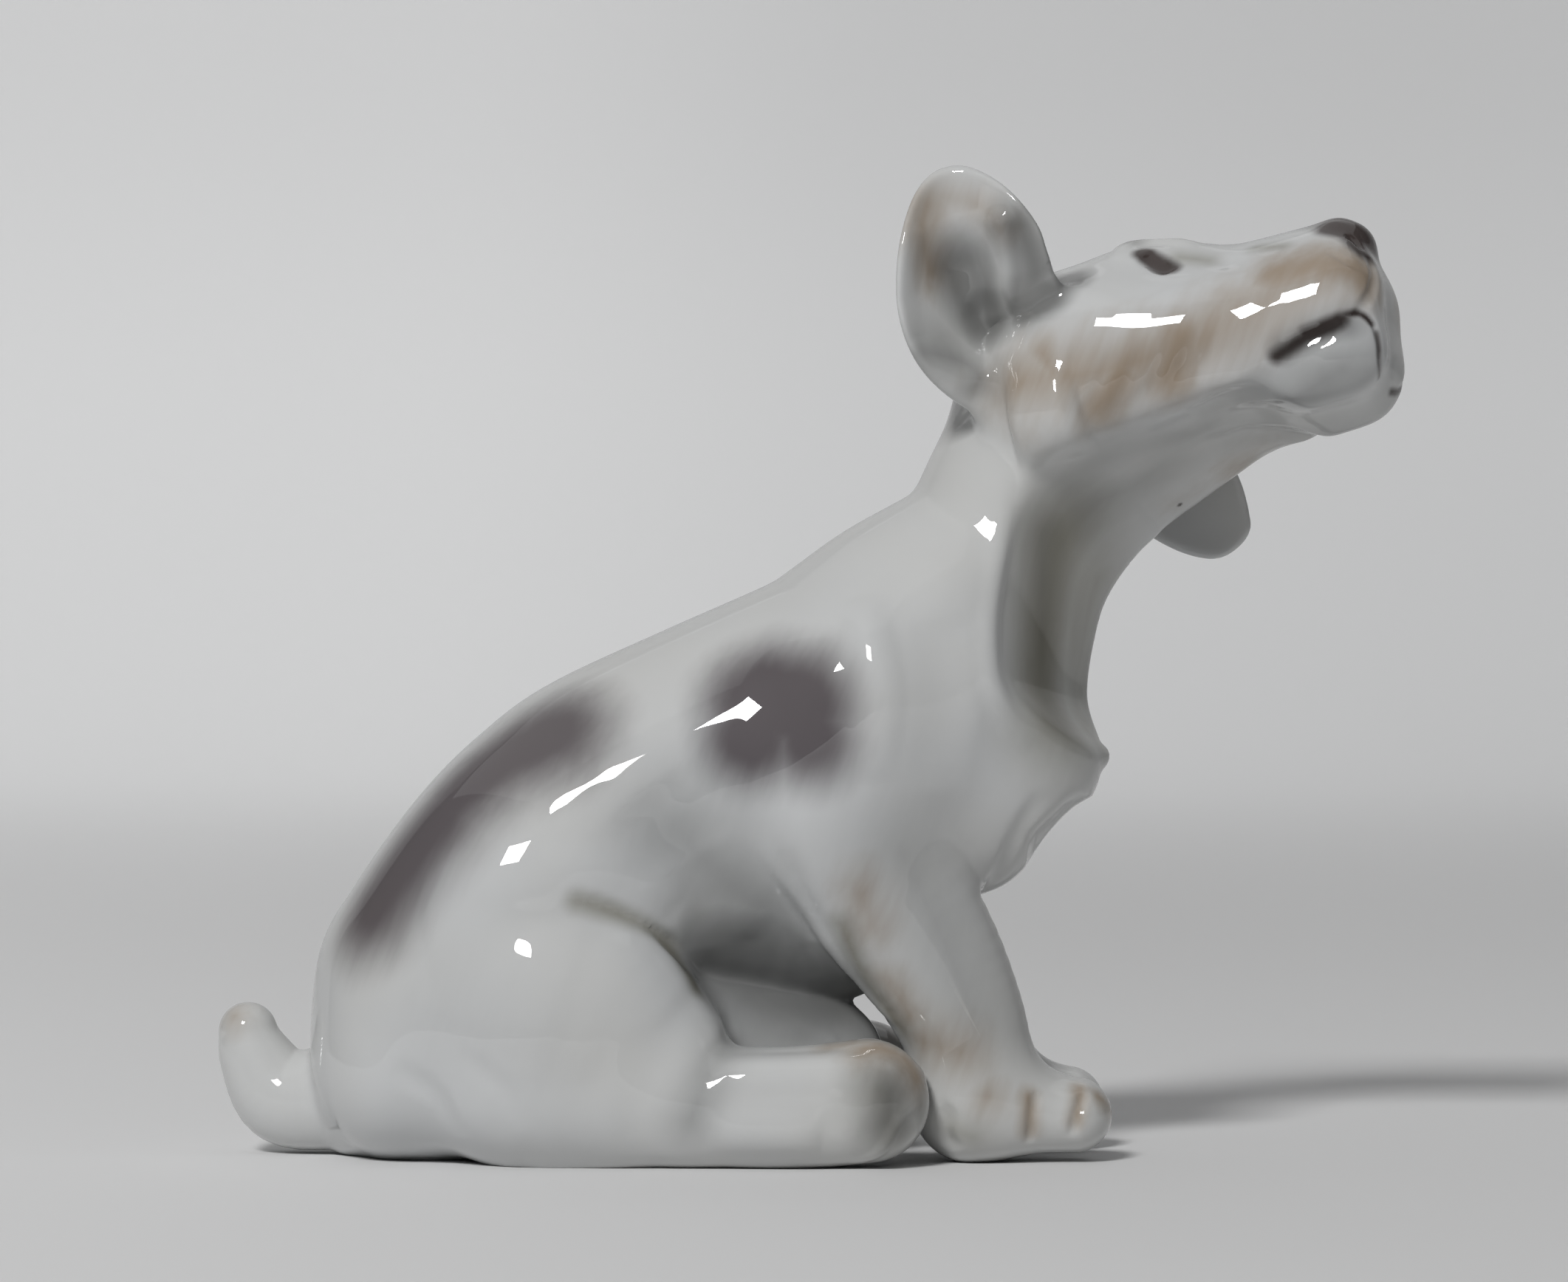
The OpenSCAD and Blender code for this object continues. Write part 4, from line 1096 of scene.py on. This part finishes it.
def paint_group():
    """How much of a paint or of a painted shade shows: soft edges, broken up by streaks."""
    tree, start, end = group("soft_paint", [
        ("Amount", "Float", 0.0), ("Vector", "Vector", None), ("Ragged", "Float", 0.4),
        ("Edge", "Float", 0.1), ("Full", "Float", 0.6)], [("Cover", "Float")])
    brush = filled(tree, "Group", {"Vector": start.outputs["Vector"]}, node_tree=streak_group())
    amount = start.outputs["Amount"]
    streak = math_node(tree, "MULTIPLY_ADD", brush.outputs["Broad"], BROAD_SHARE, 0)
    streak = math_node(tree, "MULTIPLY_ADD", brush.outputs["Fine"], FINE_SHARE, streak)
    streak = math_node(tree, "SUBTRACT", streak, STREAK_MIDDLE)
    streak = math_node(tree, "MULTIPLY", streak, start.outputs["Ragged"])
    rise = math_node(tree, "MULTIPLY", amount, STREAK_RISE, clamp=True)
    value = math_node(tree, "ADD", amount, math_node(tree, "MULTIPLY", streak, rise))
    cover = soft_step(tree, value, start.outputs["Edge"], start.outputs["Full"])
    tree.links.new(cover, end.inputs["Cover"])
    return tree


# Ripples in a metre, how much of the fine ones shows, and their height in metres.
WIDE_RIPPLE, FINE_RIPPLE, FINE_RIPPLE_SHARE, RIPPLE_HEIGHT = 260.0, 1500.0, 0.10, 0.00003


def ripple_group():
    """The faint ripple of a fired glaze."""
    tree, start, end = group("glaze_ripple", [("Vector", "Vector", None)], [("Normal", "Vector")])
    wide = noise_node(tree, start.outputs["Vector"], WIDE_RIPPLE, 1.0)
    fine = noise_node(tree, start.outputs["Vector"], FINE_RIPPLE, 1.0)
    height = math_node(tree, "MULTIPLY_ADD", fine, FINE_RIPPLE_SHARE, wide)
    raised = filled(tree, "Bump", {"Strength": 1.0, "Distance": RIPPLE_HEIGHT, "Height": height})
    tree.links.new(raised.outputs["Normal"], end.inputs["Normal"])
    return tree


# White clay, and the warmer white of its clouds.
WHITE = (0.57, 0.58, 0.585)
CLOUD_TINT, CLOUDS, CLOUD_EDGES = (1.01, 0.995, 0.965), 24.0, (0.3, 0.7)
# Coats of paint and of painted shade, from the first: name, tint, how ragged, and where each starts
# and is full.
COATS = [
    ("tan_paint", (0.56, 0.44, 0.33), 0.6, 0.0, 1.0),
    ("olive_shade_and_smudge", (0.42, 0.40, 0.33), 0.12, 0.0, 1.0),
    ("grey_shade_and_smudge", (0.33, 0.33, 0.325), 0.1, 0.0, 1.05),
    ("violet_paint", (0.20, 0.175, 0.185), 0.22, 0.04, 0.8),
    ("brown_paint_and_shade", (0.10, 0.077, 0.072), 0.3, 0.06, 0.7),
]
GLAZE = {"Roughness": 0.55, "Specular IOR Level": 0.1, "IOR": 1.5, "Coat Weight": 1.0,
         "Coat Roughness": 0.02, "Coat IOR": 1.5}


def material(name, settings):
    """A material, its tree, its shader's sockets and the place on its object."""
    mat = bpy.data.materials.new(name)
    mat.use_nodes = True
    tree = mat.node_tree
    sockets = tree.nodes["Principled BSDF"].inputs
    for label, value in settings.items():
        sockets[label].default_value = value
    return mat, tree, sockets, filled(tree, "TexCoord").outputs["Object"]


def glaze():
    """White porcelain under a clear glaze, with coats of paint and of painted shade between the
    two.
    """
    mat, tree, sockets, place = material("glazed_porcelain", GLAZE)
    clouds = soft_step(tree, noise_node(tree, place, CLOUDS), *CLOUD_EDGES)
    cloud = [a * b for a, b in zip(WHITE, CLOUD_TINT)]
    colour = coloured_mix(tree, "MIX", clouds, (*WHITE, 1), (*cloud, 1))
    soft_paint = paint_group()
    for label, tint, ragged, edge, full in COATS:
        amount = filled(tree, "Attribute", attribute_name=label).outputs["Fac"]
        paint = filled(tree, "Group", {"Amount": amount, "Vector": place, "Ragged": ragged,
                                       "Edge": edge, "Full": full}, node_tree=soft_paint)
        colour = coloured_mix(tree, "MULTIPLY", paint.outputs["Cover"], colour, (*tint, 1))
    tree.links.new(colour, sockets["Base Color"])
    ripple = filled(tree, "Group", {"Vector": place}, node_tree=ripple_group())
    tree.links.new(ripple.outputs["Normal"], sockets["Normal"])
    return mat


porcelain = glaze()
for ob in pieces:
    ob.data.materials.append(porcelain)


# The paper in metres: half its width, its front edge, back, bend and top.
PAPER_HALF, PAPER_FRONT, PAPER_BACK, PAPER_BEND, PAPER_TOP = 4.0, -2.6, 3.3, 1.1, 4.0
BEND_STEPS = 24
PAPER = {"Roughness": 0.9, "Specular IOR Level": 0.15, "Emission Color": (0.98, 0.99, 1.0, 1)}
# How pale the paper is, and how much less so on the right, painted shade where the light falls off.
# How it glows for the camera, a painted glow that is no lamp, less so on the right and higher up.
# Each with where it sets in.
PALE, LESS_PALE, PALE_EDGES = 0.88, -0.12, (-0.25, 0.1)
GLOW, GLOW_RIGHT, GLOW_UP = 0.19, -0.03, -0.05
GLOW_RIGHT_EDGES, GLOW_UP_EDGES, GLOW_BACK_EDGES = (-0.05, 0.45), (0.2, 0.5), (0.5, 2.6)


def floor_and_back():
    """A pale sheet of paper that lies flat and bends up behind the puppy."""
    rows = [(PAPER_FRONT, 0.0)]
    for i in range(BEND_STEPS + 1):
        a = math.radians(90 * i / BEND_STEPS)
        rows.append((PAPER_BACK - PAPER_BEND * (1 - math.sin(a)), PAPER_BEND * (1 - math.cos(a))))
    rows.append((PAPER_BACK, PAPER_TOP))
    verts = [(x, y, z) for y, z in rows for x in (-PAPER_HALF, PAPER_HALF)]
    faces = [(2 * i, 2 * i + 1, 2 * i + 3, 2 * i + 2) for i in range(len(rows) - 1)]
    mesh = bpy.data.meshes.new("paper")
    mesh.from_pydata(verts, [], faces)
    mesh.polygons.foreach_set("use_smooth", [True] * len(faces))
    mesh.materials.append(pale_paper())
    added("paper", mesh)


def pale_paper():
    mat, tree, sockets, place = material("pale_paper", PAPER)
    x, y, z = filled(tree, "SeparateXYZ", [(0, place)]).outputs
    pale = math_node(tree, "MULTIPLY_ADD", soft_step(tree, x, *PALE_EDGES), LESS_PALE, PALE)
    tree.links.new(pale, sockets["Base Color"])
    glow = math_node(tree, "MULTIPLY_ADD", soft_step(tree, x, *GLOW_RIGHT_EDGES), GLOW_RIGHT, GLOW)
    glow = math_node(tree, "MULTIPLY_ADD", soft_step(tree, z, *GLOW_UP_EDGES), GLOW_UP, glow)
    glow = math_node(tree, "MULTIPLY", glow, soft_step(tree, y, *GLOW_BACK_EDGES))
    seen = filled(tree, "LightPath").outputs["Is Camera Ray"]
    tree.links.new(math_node(tree, "MULTIPLY", glow, seen), sockets["Emission Strength"])
    return mat


floor_and_back()

LAMP_TARGET = (0.0, 0.0, 0.07)


def lamp(name, way, far, size, power):
    """A square soft light: the way to it, its distance and size in metres and its watts."""
    data = bpy.data.lights.new(name, "AREA")
    data.shape = "SQUARE"
    data.size, data.energy = size, power
    ob = added(name, data)
    way = Vector(way).normalized()
    ob.location = Vector(LAMP_TARGET) + way * far
    ob.rotation_euler = (-way).to_track_quat("-Z", "Y").to_euler()


lamp("key", (-0.28, -0.76, 0.585), 5.0, 0.95, 160)
lamp("top", (-0.05, 0.15, 0.98), 3.4, 5.0, 32)

world = bpy.data.worlds.new("studio")
bpy.context.scene.world = world
world.use_nodes = True
sky = world.node_tree.nodes["Background"]
sky.inputs["Color"].default_value = (0.85, 0.87, 0.9, 1)
sky.inputs["Strength"].default_value = 0.06

camera_data = bpy.data.cameras.new("camera")
camera_data.sensor_width = SENSOR
camera_data.lens = PHOTO_FOCUS / PHOTO_WIDTH * SENSOR
camera_data.clip_end = 30
camera = added("camera", camera_data)
camera.location = CAMERA
camera.rotation_euler = (math.radians(90), 0, 0)
bpy.context.scene.camera = camera
bpy.context.scene.view_settings.view_transform = "Standard"
